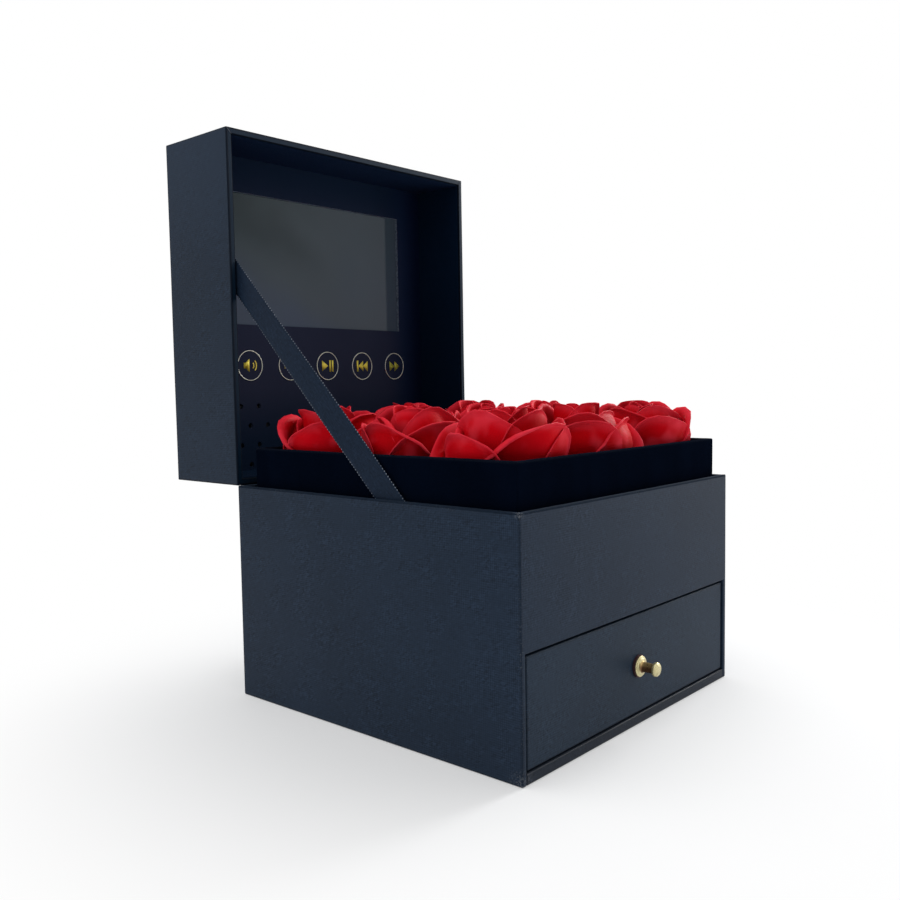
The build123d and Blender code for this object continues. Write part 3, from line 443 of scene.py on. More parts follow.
def panel_card(name, low=0.133, high=0.338, holes_top=0.192):
    """Matt black card with a soft skin, with painted shade making it bluer and deeper at its ends and towards its
    right side, and paler where it is cut.

    low and high are its ends in z. The cut card is darker in the speaker's holes, below holes_top.
    """
    f = Finish(name)
    skin = f.noise(1900, 3.0, 0.6)
    cloud = f.noise(14, 2.0)
    tone = f.blend(f.ramp(cloud, 0.3, 0.7), (0.0160, 0.0205, 0.0440), (0.0190, 0.0235, 0.0480))
    tone = f.blend(f.ramp(skin, 0.4, 0.8, 0.0, 0.5), tone, (0.0240, 0.0290, 0.0560))
    x, _, z = f.axes()
    # painted shade: darker and bluer near the top and bottom ends and towards the right side
    for value, start, end, shade in (
        (z, high - 0.055, high - 0.005, (0.0034, 0.0118, 0.0300)),
        (z, low + 0.060, low + 0.010, (0.0030, 0.0125, 0.0330)),
        (x, 0.062, 0.088, (0.0050, 0.0130, 0.0390)),
        (x, 0.080, 0.102, (0.0010, 0.0040, 0.0190)),
    ):
        tone = f.blend(f.ramp(value, start, end, 0.0, 0.85), tone, shade)
    cut = f.ramp(f.magnitude(f.facing()[1]), 0.3, 0.7, 1.0, 0.0)
    core = f.blend(f.ramp(f.noise(700, 2.0), 0.3, 0.7), (0.085, 0.115, 0.160), (0.180, 0.225, 0.290))
    core = f.blend(f.ramp(z, holes_top, holes_top + 0.008, 1.0, 0.0), core, (0.030, 0.040, 0.062))
    tone = f.blend(cut, tone, core)
    return f.finish(
        tone,
        f.ramp(skin, 0.3, 0.7, 0.48, 0.62),
        Specular_IOR_Level=0.03,
        Normal=f.bump(skin, 0.2, 0.00008),
    )


def metal(name, colour, shade, rough=(0.18, 0.34), bump=0.1, worn=0.5, metallic=1.0, neck=None):
    """Plated metal with turning marks and tarnish.

    neck is where along y a browner band of painted reflection starts and ends, and the z that its underside darkens
    from as painted shade.
    """
    f = Finish(name)
    lines = f.noise(1.0, 2.0, 0.6, f.stretch((900, 9000, 900)))
    stain = f.noise(420, 3.0, 0.6)
    tone = f.blend(f.ramp(stain, 0.40, 0.70, 0.0, worn), colour, shade)
    tone = f.blend(f.ramp(lines, 0.45, 0.75, 0.0, 0.25), tone, shade)
    if neck:
        first, last, middle = neck
        _, y, z = f.axes()
        band = f.times(f.ramp(y, first, first + 0.3 * MM), f.ramp(y, last - 0.3 * MM, last, 1.0, 0.0))
        # painted reflection: a browner band, with a painted highlight on top and painted shade beneath
        high = f.ramp(z, middle + 0.2 * MM, middle + 2.4 * MM)
        tone = f.blend(band, tone, f.blend(high, (0.17, 0.085, 0.040), (0.52, 0.36, 0.15)))
    return f.finish(
        tone,
        f.ramp(f.plus(f.times(lines, 0.5), f.times(stain, 0.5)), 0.35, 0.65, *rough),
        Metallic=metallic,
        Normal=f.bump(lines, bump, 0.00005),
    )


def stuff(name, colour, second, rough=(0.4, 0.6), grain=1400, cloud=60, bump=0.2, metallic=0.0, specular=0.4):
    """Moulded, printed or papered stuff: two tones in a fine grain over a slow cloud."""
    f = Finish(name)
    fine = f.noise(grain, 3.0, 0.6)
    slow = f.noise(cloud, 2.0)
    tone = f.blend(f.ramp(fine, 0.35, 0.70), colour, second)
    tone = f.blend(f.ramp(slow, 0.3, 0.7, 0.0, 0.4), tone, tint(colour, 0.75))
    return f.finish(
        tone,
        f.ramp(fine, 0.3, 0.7, *rough),
        Metallic=metallic,
        Specular_IOR_Level=specular,
        Normal=f.bump(fine, bump, 0.0001),
    )


def weave(name, colour, pitch=0.0007, bump=0.5):
    """Book cloth: a fine plain weave in two tones."""
    f = Finish(name)
    x, y, z = f.axes()
    turns = 2 * math.pi / pitch
    warp = f.math("SINE", f.times(x, turns))
    weft = f.math("SINE", f.times(f.plus(y, z), turns))
    height = f.times(warp, weft)
    tone = f.blend(f.ramp(height, -0.6, 0.8), tint(colour, 0.55), tint(colour, 1.35))
    tone = f.blend(f.ramp(f.noise(120, 3.0), 0.4, 0.7, 0.0, 0.4), tone, tint(colour, 0.8))
    return f.finish(
        tone,
        f.ramp(height, -1, 1, 0.9, 0.7),
        Specular_IOR_Level=0.2,
        Normal=f.bump(height, bump, 0.0001),
    )


def circuit(name):
    """Green solder mask with copper tracks under it."""
    f = Finish(name)
    tracks = f.cells(260, "Distance", "DISTANCE_TO_EDGE")
    tone = f.blend(f.ramp(tracks, 0.03, 0.06, 1.0, 0.0), (0.010, 0.085, 0.028), (0.035, 0.20, 0.06))
    tone = f.blend(f.ramp(f.noise(900), 0.4, 0.7, 0.0, 0.3), tone, (0.006, 0.05, 0.02))
    rough = f.ramp(f.noise(500), 0.3, 0.7, 0.25, 0.4)
    return f.finish(tone, rough, Normal=f.bump(tracks, 0.15, 0.0001))


def floor_white(name):
    """Pale floor that keeps the box's shadow and fades into the white backdrop further out."""
    f = Finish(name)
    x, y, _ = f.axes()
    reach = f.math("SQRT", f.plus(f.times(x, x), f.times(y, y)))
    far = f.times(f.ramp(reach, 0.13, 0.34, 0.30, 1.0), f.seen())
    mixed = f.mix_shaders(far, f.surface.outputs[0], f.add("Emission").outputs[0])
    f.put(f.tree.nodes["Material Output"].inputs["Surface"], mixed)
    paint = f.blend(f.ramp(f.noise(3.0), 0.3, 0.7), (0.86, 0.86, 0.86), (0.88, 0.88, 0.88))
    rough = f.ramp(f.noise(80), 0.3, 0.7, 0.8, 0.9)
    return f.finish(paint, rough, Specular_IOR_Level=0.1)


# a rubbed corner: its place in millimetres, its reach in metres and its strength
FOOT_SCUFF = (BASE_LOW, 0.011, 0.65)
RIM_SCUFFS = [((a * HALF_W, -HALF_W, BASE_H), 0.0045, 0.8) for a in (-1, 1)]
# the base's lip gets painted shade along its top edge
PAPER_BASE = wrap_paper("paper_base", BASE_LOW, BASE_HIGH, lip=BASE_H, scuffs=[FOOT_SCUFF, *RIM_SCUFFS])
PAPER_LID = wrap_paper("paper_lid", LID_LOW, LID_HIGH, (0.0122, 0.0225, 0.0410), rim=LID_FRONT)
PAPER_DRAWER = wrap_paper("paper_drawer", DRAWER_LOW, DRAWER_HIGH, (0.0165, 0.0290, 0.0490))
PAPER_BOTTOM = wrap_paper("paper_bottom", BOARD_LOW, BOARD_HIGH, (0.0180, 0.0240, 0.0360), scuffs=[FOOT_SCUFF])
knob_low, knob_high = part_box("knob")
# where along the knob's stem its painted reflection and shade lie
KNOB_NECK = (knob_high.y - 8.8 * MM, knob_high.y - 1.55 * MM, (knob_low.z + knob_high.z) / 2)

SLOT_FINISH = {
    "wrap_paper": PAPER_BASE,
    "hinge_cloth": weave("cloth_hinge", (0.020, 0.029, 0.042)),
    "inner_board": stuff(
        "board_inner", (0.014, 0.015, 0.019), (0.024, 0.025, 0.030), (0.7, 0.9), bump=0.4, specular=0.2
    ),
    "liner_paper": liner_paper("paper_liner"),
    "panel_card": panel_card("card_panel"),
    "tray_velvet": velvet("velvet_plain"),
    "foam": stuff(
        "foam_floral", (0.030, 0.105, 0.040), (0.055, 0.165, 0.070), (0.9, 1.0), 700, 90, 1.0, specular=0.1
    ),
    "rose_petal": petal_skin("petal_red"),
    "stem_plastic": stuff("plastic_stem", (0.020, 0.110, 0.022), (0.035, 0.150, 0.030), (0.35, 0.5)),
    "ribbon_satin": ribbon_satin("satin_ribbon"),
    "screen_glass": screen_glass("glass_screen"),
    "backlight_plastic": stuff("plastic_backlight", (0.80, 0.81, 0.79), (0.86, 0.87, 0.85), (0.3, 0.45), 600),
    "frame_steel": metal("steel_frame", (0.55, 0.56, 0.57), (0.38, 0.39, 0.40), (0.3, 0.5)),
    "flex_amber": stuff("film_amber", (0.50, 0.23, 0.04), (0.62, 0.32, 0.07), (0.25, 0.35), 400, 90),
    "circuit_board": circuit("board_green"),
    "switch_plastic": stuff("plastic_switch", (0.70, 0.69, 0.65), (0.78, 0.77, 0.73)),
    "screw_steel": metal("steel_screw", (0.60, 0.60, 0.61), (0.40, 0.40, 0.41), (0.25, 0.4)),
    "chip_black": stuff("plastic_chip", (0.012, 0.012, 0.013), (0.022, 0.022, 0.023)),
    "cone_paper": stuff("paper_cone", (0.022, 0.022, 0.024), (0.040, 0.040, 0.042), (0.7, 0.9), 900, 60, 0.5),
    "lead_red": stuff("rubber_lead", (0.42, 0.022, 0.022), (0.50, 0.040, 0.035), (0.4, 0.5)),
    "battery_wrap": stuff("film_battery", (0.55, 0.56, 0.57), (0.66, 0.67, 0.68), (0.25, 0.4), 500),
    "button_black": panel_card("card_button"),
    "knob_brass": metal(
        "brass_knob", (0.66, 0.60, 0.34), (0.36, 0.27, 0.12), (0.24, 0.40), 0.15, 0.45, 0.8, KNOB_NECK
    ),
    # the rosette's near-black purple is its bronze deepened by painted shade beside the flange
    "rosette_bronze": metal(
        "bronze_rosette_painted_shade", (0.075, 0.034, 0.040), (0.025, 0.011, 0.014), (0.45, 0.60), 0.2, 0.6, 0.7
    ),
}
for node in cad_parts.values():
    for held in node.material_slots:
        held.material = SLOT_FINISH[held.material.name.split(".")[0]]


# ---- mesh shorthand
def mesh_of(name, points, faces):
    made = bpy.data.meshes.new(name)
    made.from_pydata([tuple(p) for p in points], [], faces)
    made.validate()
    return made


def settled(bm, mesh):
    """The mesh with what the bmesh holds, its normals outwards."""
    bmesh.ops.recalc_face_normals(bm, faces=bm.faces)
    bm.to_mesh(mesh)
    bm.free()
    return mesh


def keep(mesh, name, vectors):
    """Keeps a vector at each point of a mesh, for its finish."""
    kept = mesh.attributes.new(name, "FLOAT_VECTOR", "POINT")
    kept.data.foreach_set("vector", np.array(vectors, np.float32).ravel())


def tube_faces(rows, around):
    """Faces of a closed tube of rows of points, with an end cap on each end."""
    faces = []
    for k in range(rows - 1):
        for n in range(around):
            a, b = k * around + n, k * around + (n + 1) % around
            faces.append((a, b, b + around, a + around))
    last = (rows - 1) * around
    return [*faces, tuple(range(around))[::-1], tuple(range(last, last + around))]


def placed(name, data):
    """A new object in the scene."""
    made = bpy.data.objects.new(name, data)
    scene.collection.objects.link(made)
    return made


def piece(name, mesh, finish, body, replaces=(), even=True):
    """A shown piece that rides a body. even keeps broad faces flat under smooth shading."""
    made = placed(name, mesh)
    mesh.materials.append(finish)
    mesh.polygons.foreach_set("use_smooth", [True] * len(mesh.polygons))
    if even:
        made.modifiers.new("even", "WEIGHTED_NORMAL").weight = 50
    if body:
        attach(made, body)
    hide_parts(*replaces)
    return made


def cuts_along(edges, step):
    """Edges in order, with more cuts between those that are far apart."""
    edges = sorted(set(edges))
    found = [edges[0]]
    for a, b in zip(edges, edges[1:]):
        parts = max(1, round((b - a) / step))
        found += [a + (b - a) * i / parts for i in range(1, parts + 1)]
    return found


def boards(name, solids, voids, radius, step=12.0, bow=0.12, rough=0.0):
    """The skin of boxes less other boxes, in millimetres, with rounded edges.

    bow is the depth of its faces' slow waver, as in hand-made board, and rough that of a fine one.
    """
    boxes = [*solids, *voids]
    low, high = np.min([b[0] for b in solids], axis=0), np.max([b[1] for b in solids], axis=0)
    cuts = []
    for axis in range(3):
        edges = [np.clip(b[end][axis], low[axis], high[axis]) for b in boxes for end in (0, 1)]
        cuts.append(cuts_along([float(e) for e in edges], step))
    middles = [[(a + b) / 2 for a, b in zip(c, c[1:])] for c in cuts]
    size = [len(m) for m in middles]

    def within(boxes, p):
        return any(all(box[0][a] < p[a] < box[1][a] for a in range(3)) for box in boxes)

    solid = np.zeros([n + 2 for n in size], bool)
    for i, x in enumerate(middles[0]):
        for j, y in enumerate(middles[1]):
            for k, z in enumerate(middles[2]):
                solid[i + 1, j + 1, k + 1] = within(solids, (x, y, z)) and not within(voids, (x, y, z))
    points, index, faces = [], {}, []

    def corner(i, j, k):
        if (i, j, k) not in index:
            index[i, j, k] = len(points)
            points.append((cuts[0][i] * MM, cuts[1][j] * MM, cuts[2][k] * MM))
        return index[i, j, k]

    rings = {
        (0, 1): ((1, 0, 0), (1, 1, 0), (1, 1, 1), (1, 0, 1)),
        (0, -1): ((0, 0, 0), (0, 0, 1), (0, 1, 1), (0, 1, 0)),
        (1, 1): ((0, 1, 0), (0, 1, 1), (1, 1, 1), (1, 1, 0)),
        (1, -1): ((0, 0, 0), (1, 0, 0), (1, 0, 1), (0, 0, 1)),
        (2, 1): ((0, 0, 1), (1, 0, 1), (1, 1, 1), (0, 1, 1)),
        (2, -1): ((0, 0, 0), (0, 1, 0), (1, 1, 0), (1, 0, 0)),
    }
    for i, j, k in zip(*np.nonzero(solid)):
        for (axis, way), ring in rings.items():
            beside = [i, j, k]
            beside[axis] += way
            if not solid[tuple(beside)]:
                faces.append([corner(i - 1 + a, j - 1 + b, k - 1 + c) for a, b, c in ring])
    mesh = mesh_of(name, points, faces)
    bm = bmesh.new()
    bm.from_mesh(mesh)
    sharp = [e for e in bm.edges if len(e.link_faces) == 2 and e.calc_face_angle() > math.radians(40)]
    bmesh.ops.bevel(
        bm, geom=sharp, offset=radius * MM, segments=3, profile=0.55, affect="EDGES", clamp_overlap=True
    )
    for v in bm.verts:
        v.co += noise.noise_vector(v.co * 14.0) * bow * MM
        if rough:
            v.co += noise.noise_vector(v.co * 420.0) * rough * MM
    return settled(bm, mesh)


def boarded(name, finish, body, slot, node, *shape, **settings):
    """A piece made of boards that stands for one CAD node. shape and settings go to boards."""
    return piece(name, boards(name, *shape, **settings), finish, body, [node])


# ---- wrapped boards
inner = HALF_W - BASE_WALL
base_voids = [
    ((-inner, -inner, -1), (inner, inner, BASE_H + 1)),
    ((-inner, -HALF_W - 1, -1), (inner, -inner + 1, BAY_TOP)),
]
boarded("base_wrap", PAPER_BASE, "base", "wrap_paper", "base_shell", [(BASE_LOW, BASE_HIGH)], base_voids, 0.8)
boarded("bottom_wrap", PAPER_BOTTOM, "base", "wrap_paper", "bottom_board", [(BOARD_LOW, BOARD_HIGH)], [], 0.9)
inner = HALF_W - LID_WALL
lid_voids = [
    ((-inner, LID_FRONT - 1, BASE_H + LID_WALL), (inner, LID_BACK - LID_WALL, LID_TOP - LID_WALL)),
    ((inner - 1, PORT_Y[0], PORT_Z[0]), (HALF_W + 1, PORT_Y[1], PORT_Z[1])),
]
boarded("lid_wrap", PAPER_LID, "lid", "wrap_paper", "lid_shell", [(LID_LOW, LID_HIGH)], lid_voids, 0.7)
front = [(DRAWER_LOW, DRAWER_HIGH)]
boarded("drawer_wrap", PAPER_DRAWER, "drawer", "wrap_paper", "drawer_front", front, [], 0.9, bow=0.08)


def corner_folds(name, corners, inward, face_axis, outward, finish, body):
    """The wrap's mitred folds: a small worn ridge across the rim at each corner.

    Each corner comes with the signs of its inward way along the rim's two axes.
    """
    bm = bmesh.new()
    u, v = (a for a in range(3) if a != face_axis)
    for corner, (du, dv) in corners:
        step, side, rise = Vector((0, 0, 0)), Vector((0, 0, 0)), Vector((0, 0, 0))
        step[u], step[v] = du * inward, dv * inward
        side[u], side[v] = -dv, du
        side.normalize()
        rise[face_axis] = outward
        rows = []
        for n in range(7):
            t = n / 6
            width = 0.42 * (1 - 0.55 * t) * (0.5 + math.sin(math.pi * min(1.0, t + 0.15)) * 0.5)
            middle = Vector(corner) + step * (0.10 + 0.84 * t)
            lift = 0.16 * (0.4 + 0.6 * math.sin(math.pi * (0.15 + 0.7 * t)))
            ring = ((-1, -0.25), (-0.5, lift * 0.8), (0.2, lift), (1, -0.25))
            rows.append([bm.verts.new((middle + side * width * a + rise * b) * MM) for a, b in ring])
        for a, b in zip(rows, rows[1:]):
            for k in range(4):
                m = (k + 1) % 4
                bm.faces.new((a[k], a[m], b[m], b[k]))
        bm.faces.new(rows[0][::-1])
        bm.faces.new(rows[-1])
    return piece(name, settled(bm, bpy.data.meshes.new(name)), finish, body)


rubbed = stuff(
    "paper_rubbed", (0.075, 0.085, 0.105), (0.20, 0.21, 0.24), (0.6, 0.8), 900, 200, 0.3, specular=0.1
)
base_corners = [((a * HALF_W, b * HALF_W, BASE_H), (-a, -b)) for a in (-1, 1) for b in (-1, 1)]
corner_folds("base_folds", base_corners, BASE_WALL, 2, 1, rubbed, "base")
lid_corners = [((a * HALF_W, LID_FRONT, LID_TOP), (-a, -1)) for a in (-1, 1)]
corner_folds("lid_folds", lid_corners, LID_WALL, 1, -1, rubbed, "lid")

card, flock = SLOT_FINISH["inner_board"], SLOT_FINISH["tray_velvet"]
boarded("drawer_box", card, "drawer", "inner_board", "drawer_tray", [DRAWER_BOX], [DRAWER_HOLLOW], 0.6)
boarded("drawer_pad", flock, "drawer", "tray_velvet", "drawer_liner", [DRAWER_PAD], [], 0.8, 6.0, 0.25, 0.05)

# ---- knob
def turned(name, node, profile, around=56):
    """A mesh turned about a node's middle line along y.

    profile has (forward, radius) points in millimetres, measured off the node's back.
    """
    low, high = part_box(node)
    x, z = (low.x + high.x) / 2, (low.z + high.z) / 2
    points = []
    for forward, radius in profile:
        for n in range(around):
            a, r = 2 * math.pi * n / around, radius * MM
            points.append((x + r * math.cos(a), high.y - forward * MM, z + r * math.sin(a)))
    return mesh_of(name, points, tube_faces(len(profile), around))


FLANGE = [(0, 5.5), (0.12, 5.7), (0.45, 5.75), (0.75, 5.65), (0.9, 5.35)]
FLANGE += [(0.92, 4.8), (1.0, 4.65), (1.3, 4.6), (1.5, 4.4), (1.58, 4.0)]
STEM = [(1.62, 3.5), (1.8, 3.15), (2.2, 2.9), (2.8, 2.78), (5.0, 2.7)]
STEM += [(7.4, 2.66), (8.2, 2.7), (8.6, 2.8), (8.7, 3.0)]
HEAD = [(8.72, 3.4), (8.85, 3.7), (9.15, 3.85), (9.6, 3.9), (10.1, 3.85), (10.6, 3.7)]
HEAD += [(11.0, 3.35), (11.3, 2.8), (11.5, 2.05), (11.59, 1.1), (11.6, 0.3)]
knob_mesh = turned("knob_turned", "knob", FLANGE + STEM + HEAD)
piece("knob_turned", knob_mesh, SLOT_FINISH["knob_brass"], "drawer", ["knob"], even=False)

# ---- velvet tray and foam
tray = [((-TRAY_HALF, -TRAY_HALF, TRAY_FOOT), (TRAY_HALF, TRAY_REAR, TRAY_RIM))]
inner, rear = TRAY_HALF - TRAY_WALL, TRAY_REAR - TRAY_WALL
tray_voids = [
    ((-inner, -inner, TRAY_FLOOR + 2), (inner, rear, TRAY_RIM + 1)),
    ((-inner, -inner, TRAY_FOOT - 1), (inner, rear, TRAY_FLOOR)),
]
rimmed = velvet("velvet_tray", rim=TRAY_RIM)
boarded("velvet_tray", rimmed, "base", "tray_velvet", "flower_tray", tray, tray_voids, 0.9, 5.0, 0.25, 0.10)
block = [(FOAM_LOW, FOAM_HIGH)]
foam = boarded("foam_bed", SLOT_FINISH["foam"], "base", "foam", "foam_block", block, [], 1.4, 4.0, 0.5, 0.25)


# ---- ribbon and hinge cloth
def strip(name, line, sides, width, thick, across=12, edge_bead=0.0):
    """A closed cloth strip along a line, with each point's place on the flat strip kept for its finish."""
    line, sides = np.array(line), np.array(sides)
    tangent = np.gradient(line, axis=0)
    tangent /= np.linalg.norm(tangent, axis=1)[:, None]
    normals = np.cross(tangent, sides)
    normals /= np.linalg.norm(normals, axis=1)[:, None]
    run = np.concatenate([[0], np.cumsum(np.linalg.norm(np.diff(line, axis=0), axis=1))])
    points, flat = [], []
    around = 2 * across + 2
    for n, (p, side, up) in enumerate(zip(line, sides, normals)):
        scallop = edge_bead * math.sin(run[n] / SELVEDGE_PITCH * 2 * math.pi)
        for k in range(around):
            front = k <= across
            u = -1 + 2 * (k if front else around - 1 - k) / across
            half = width / 2 + scallop * (abs(u) > 0.99)
            lift = thick / 2 * (1 - 0.55 * abs(u) ** 12)
            points.append(p + side * u * half + up * lift * (1 if front else -1))
            flat.append((u * width / 2, run[n], 0.0))
    mesh = mesh_of(name, points, tube_faces(len(line), around))
    keep(mesh, "strip", flat)
    bm = bmesh.new()
    bm.from_mesh(mesh)
    return settled(bm, mesh)


# the two edges of the box between which the ribbon is free
low_end = Vector((-0.10325, -0.0193, 0.129))
high_end = Vector((-0.10223, 0.107, 0.2532))
pull = (high_end - low_end).normalized()
span = (high_end - low_end).length + 2 * RIBBON_TAIL
start = low_end - pull * RIBBON_TAIL
ribbon_line, ribbon_sides = [], []
RIBBON_STEPS = 160
for n in range(RIBBON_STEPS + 1):
    along = span * n / RIBBON_STEPS
    share = along / span
    sway = 0.00045 * math.sin(math.pi * share) + 0.0002 * math.sin(9 * share)
    twist = math.radians(5.0 * math.sin(math.pi * share * 1.3 + 0.4) * math.sin(math.pi * share))
    flat_side = Vector((0, -pull.z, pull.y))
    ribbon_line.append(start + pull * along + Vector((sway, 0, 0)))
    ribbon_sides.append(flat_side * math.cos(twist) + Vector((math.sin(twist), 0, 0)))
ribbon_mesh = strip("ribbon", ribbon_line, ribbon_sides, RIBBON_W, RIBBON_THICK, edge_bead=0.00012)
satin = SLOT_FINISH["ribbon_satin"]
ribbon = piece("ribbon", ribbon_mesh, satin, None, ["ribbon_stay"], even=False)
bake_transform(ribbon)

hinge_y, hinge_z = HINGE[0] * MM, HINGE[1] * MM
run, at, bend = 0.0162, 0.0018, 0.0016  # straight run each side of the fold, the fold's middle and its radius
cloth_line = [(0, hinge_y + CLOTH_OUT, hinge_z - CLOTH_REACH + run * n / 10) for n in range(11)]
for n in range(1, 7):
    a = math.radians(15 * n)
    cloth_line.append((0, hinge_y + at - bend * math.cos(a), hinge_z - at + bend * math.sin(a)))
cloth_line += [(0, hinge_y + at + run * n / 10, hinge_z - CLOTH_OUT) for n in range(1, 11)]
cloth_mesh = strip("hinge_cloth", cloth_line, [(1, 0, 0)] * len(cloth_line), 2 * CLOTH_HALF, CLOTH_THICK, 24)
halves = ["hinge_cloth_base", "hinge_cloth_lid"]
cloth = piece("hinge_cloth", cloth_mesh, SLOT_FINISH["hinge_cloth"], None, halves, even=False)
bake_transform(cloth)


# ---- roses
def smooth_step(x, a, b):
    t = min(1.0, max(0.0, (x - a) / (b - a)))
    return t * t * (3 - 2 * t)


def soft_limit(x, most, ease=2.5):
    """x held under a limit, bent gently towards it rather than cut."""
    low = most - ease
    return x if x < low else most - ease * math.exp((low - x) / ease)


def bezier(knots, t):
    """A point on the cubic Bezier curve with these knots."""
    a, b, c, d = (1 - t) ** 3, 3 * t * (1 - t) ** 2, 3 * t * t * (1 - t), t ** 3
    return tuple(a * p + b * q + c * r + d * s for p, q, r, s in zip(*knots))


PETAL_THICK = 0.0006
FOLD_WAYS = (0.55, 2.55)  # the two ways that the broad part of a petal's rim may face, in radians


def petal(rng, turn, width, profile, radius, roll, around=30, rings=5, rim_rings=5):
    """One petal, in millimetres: a cup wrapped round the rose's axis, with a rim that rolls outwards.

    profile is its side line, (out, up) from foot to neck; roll is the rim's breadth and its turn in radians.
    """
    own, seed, skew = rng.random(), rng.uniform(0, 900), rng.uniform(-0.16, 0.16)
    facing, crease = rng.choice(FOLD_WAYS) + rng.uniform(-0.35, 0.35), rng.uniform(0.45, 1.0)
    length = sum((Vector(b) - Vector(a)).length for a, b in zip(profile, profile[1:])) * 0.93

    def cup(across, along):
        """The cup's point at a place on the flat petal. across and along are in millimetres."""
        s = min(1.0, max(0.0, along / length))
        out, up = bezier(profile, s)
        angle = turn + across / radius * (0.55 + 0.45 * smooth_step(s, 0.1, 0.6)) + skew * s
        stir = noise.noise_vector(Vector((across * 0.050, along * 0.050, seed))) * (0.5 + 3.2 * s)
        out += stir.x + (1.2 * (across / width) ** 2 + 0.09 * radius * across / width) * s
        return Vector((out * math.cos(angle), out * math.sin(angle), up + 0.6 * stir.y))

    def outline(phi):
        """The petal's flat outline: a broad rounded top and a narrow foot."""
        c, d = math.cos(phi), math.sin(phi)
        wide = width * math.copysign(abs(c) ** 0.86, c) * (1.0 if d > 0 else 1 - 0.45 * abs(d))
        tall = (0.46 if d > 0 else 0.54) * length * math.copysign(abs(d) ** 0.90, d)
        tip = 1 + 0.035 * math.exp(-(((phi - math.pi / 2) / 0.30) ** 2))
        swell, dip = 1 + 0.05 * math.sin(3 * phi + seed), 1 + 0.03 * math.sin(4 * phi + 2 * seed)
        return wide * swell, tall * tip * dip

    middle = (0.0, 0.54 * length)
    points, where, faces = [cup(*middle)], [(0.0, 0.0, own)], []
    for j in range(1, rings + rim_rings + 1):
        for i in range(around):
            phi = 2 * math.pi * i / around
            wide, tall = outline(phi)
            upper = smooth_step(math.sin(phi), -0.35, 0.45)
            favour = 0.5 + 0.5 * math.cos(phi - facing)
            breadth = roll[0] * upper * (0.16 + 1.05 * crease * favour ** 2.2)
            reach = math.hypot(wide, tall)
            inner = max(0.5, 1 - breadth / reach)
            if j <= rings:
                share = inner * (j / rings) ** 0.85
                p = cup(middle[0] + wide * share, middle[1] + tall * share)
                v = share
            else:
                e = (j - rings) / rim_rings
                rim_x, rim_y = middle[0] + wide * inner, middle[1] + tall * inner
                q = cup(rim_x, rim_y)
                before = cup(middle[0] + wide * inner * 0.97, middle[1] + tall * inner * 0.97)
                ahead = (q - before).normalized()
                beside = cup(rim_x - 0.5 * math.sin(phi), rim_y + 0.5 * math.cos(phi)) - q
                normal = ahead.cross(beside)
                normal = normal.normalized() if normal.length > 1e-9 else Vector((q.x, q.y, 0)).normalized()
                if normal.dot(Vector((q.x, q.y, 0))) < 0:
                    normal.negate()
                full = max(0.03, roll[1] * (0.20 + 1.0 * favour ** 1.6) * upper)
                bend = reach * (1 - inner) / full
                p = q + ahead * bend * math.sin(full * e) + normal * bend * (1 - math.cos(full * e))
                v = inner + (1 - inner) * e
            points.append(p)
            where.append((math.cos(phi) * v, 0.5 + 0.5 * math.sin(phi) * v, own))
            ring, near = 1 + (j - 1) * around, 1 + (j - 2) * around
            after = (i + 1) % around
            if j == 1:
                faces.append((0, ring + i, ring + after))
            else:
                faces.append((near + i, ring + i, ring + after, near + after))
    return points, where, faces


# petals in a layer, half width, side line (out, up), radius it wraps, the rim's breadth and roll in degrees
LAYERS = [
    (3, 12.5, [(1.0, 8), (4.5, 18), (6.5, 36), (3.5, 46.0)], 5.5, (2.5, 50)),
    (3, 18.0, [(2.5, 5), (11.0, 12), (14.0, 34), (9.5, 46.5)], 11.5, (4.0, 70)),
    (4, 23.5, [(4.0, 4), (20.0, 6), (25.0, 30), (17.5, 44.0)], 19.5, (8.0, 90)),
    (5, 28.0, [(6.0, 3), (30.0, 3), (35.5, 23), (27.5, 39.5)], 28.5, (10.5, 95)),
]
CELL_X, CELL_Y = 32.4, 31.7
OUTER_X, OUTER_Y = TRAY_HALF - CELL_X, 60.0  # further out than this is the outer half of an outer cell


def seated(point, middle, inset):
    """A petal's point kept in the rose's own cell of the tray, with more room over the tray's rims."""
    x, y, z = point
    room = 0.0 if ROSE_FOOT + z < TRAY_RIM else min(2.5, 0.4 * (ROSE_FOOT + z - TRAY_RIM))
    wide = CELL_X + room * (abs(middle[0] + x) > OUTER_X), CELL_Y + room * (abs(middle[1] + y) > OUTER_Y)
    x, y = (math.copysign(soft_limit(abs(c), w - inset, 5.0), c) for c, w in zip((x, y), wide))
    return (middle[0] + x) * MM, (middle[1] + y) * MM, (ROSE_FOOT + soft_limit(z, 48.3, 1.5)) * MM


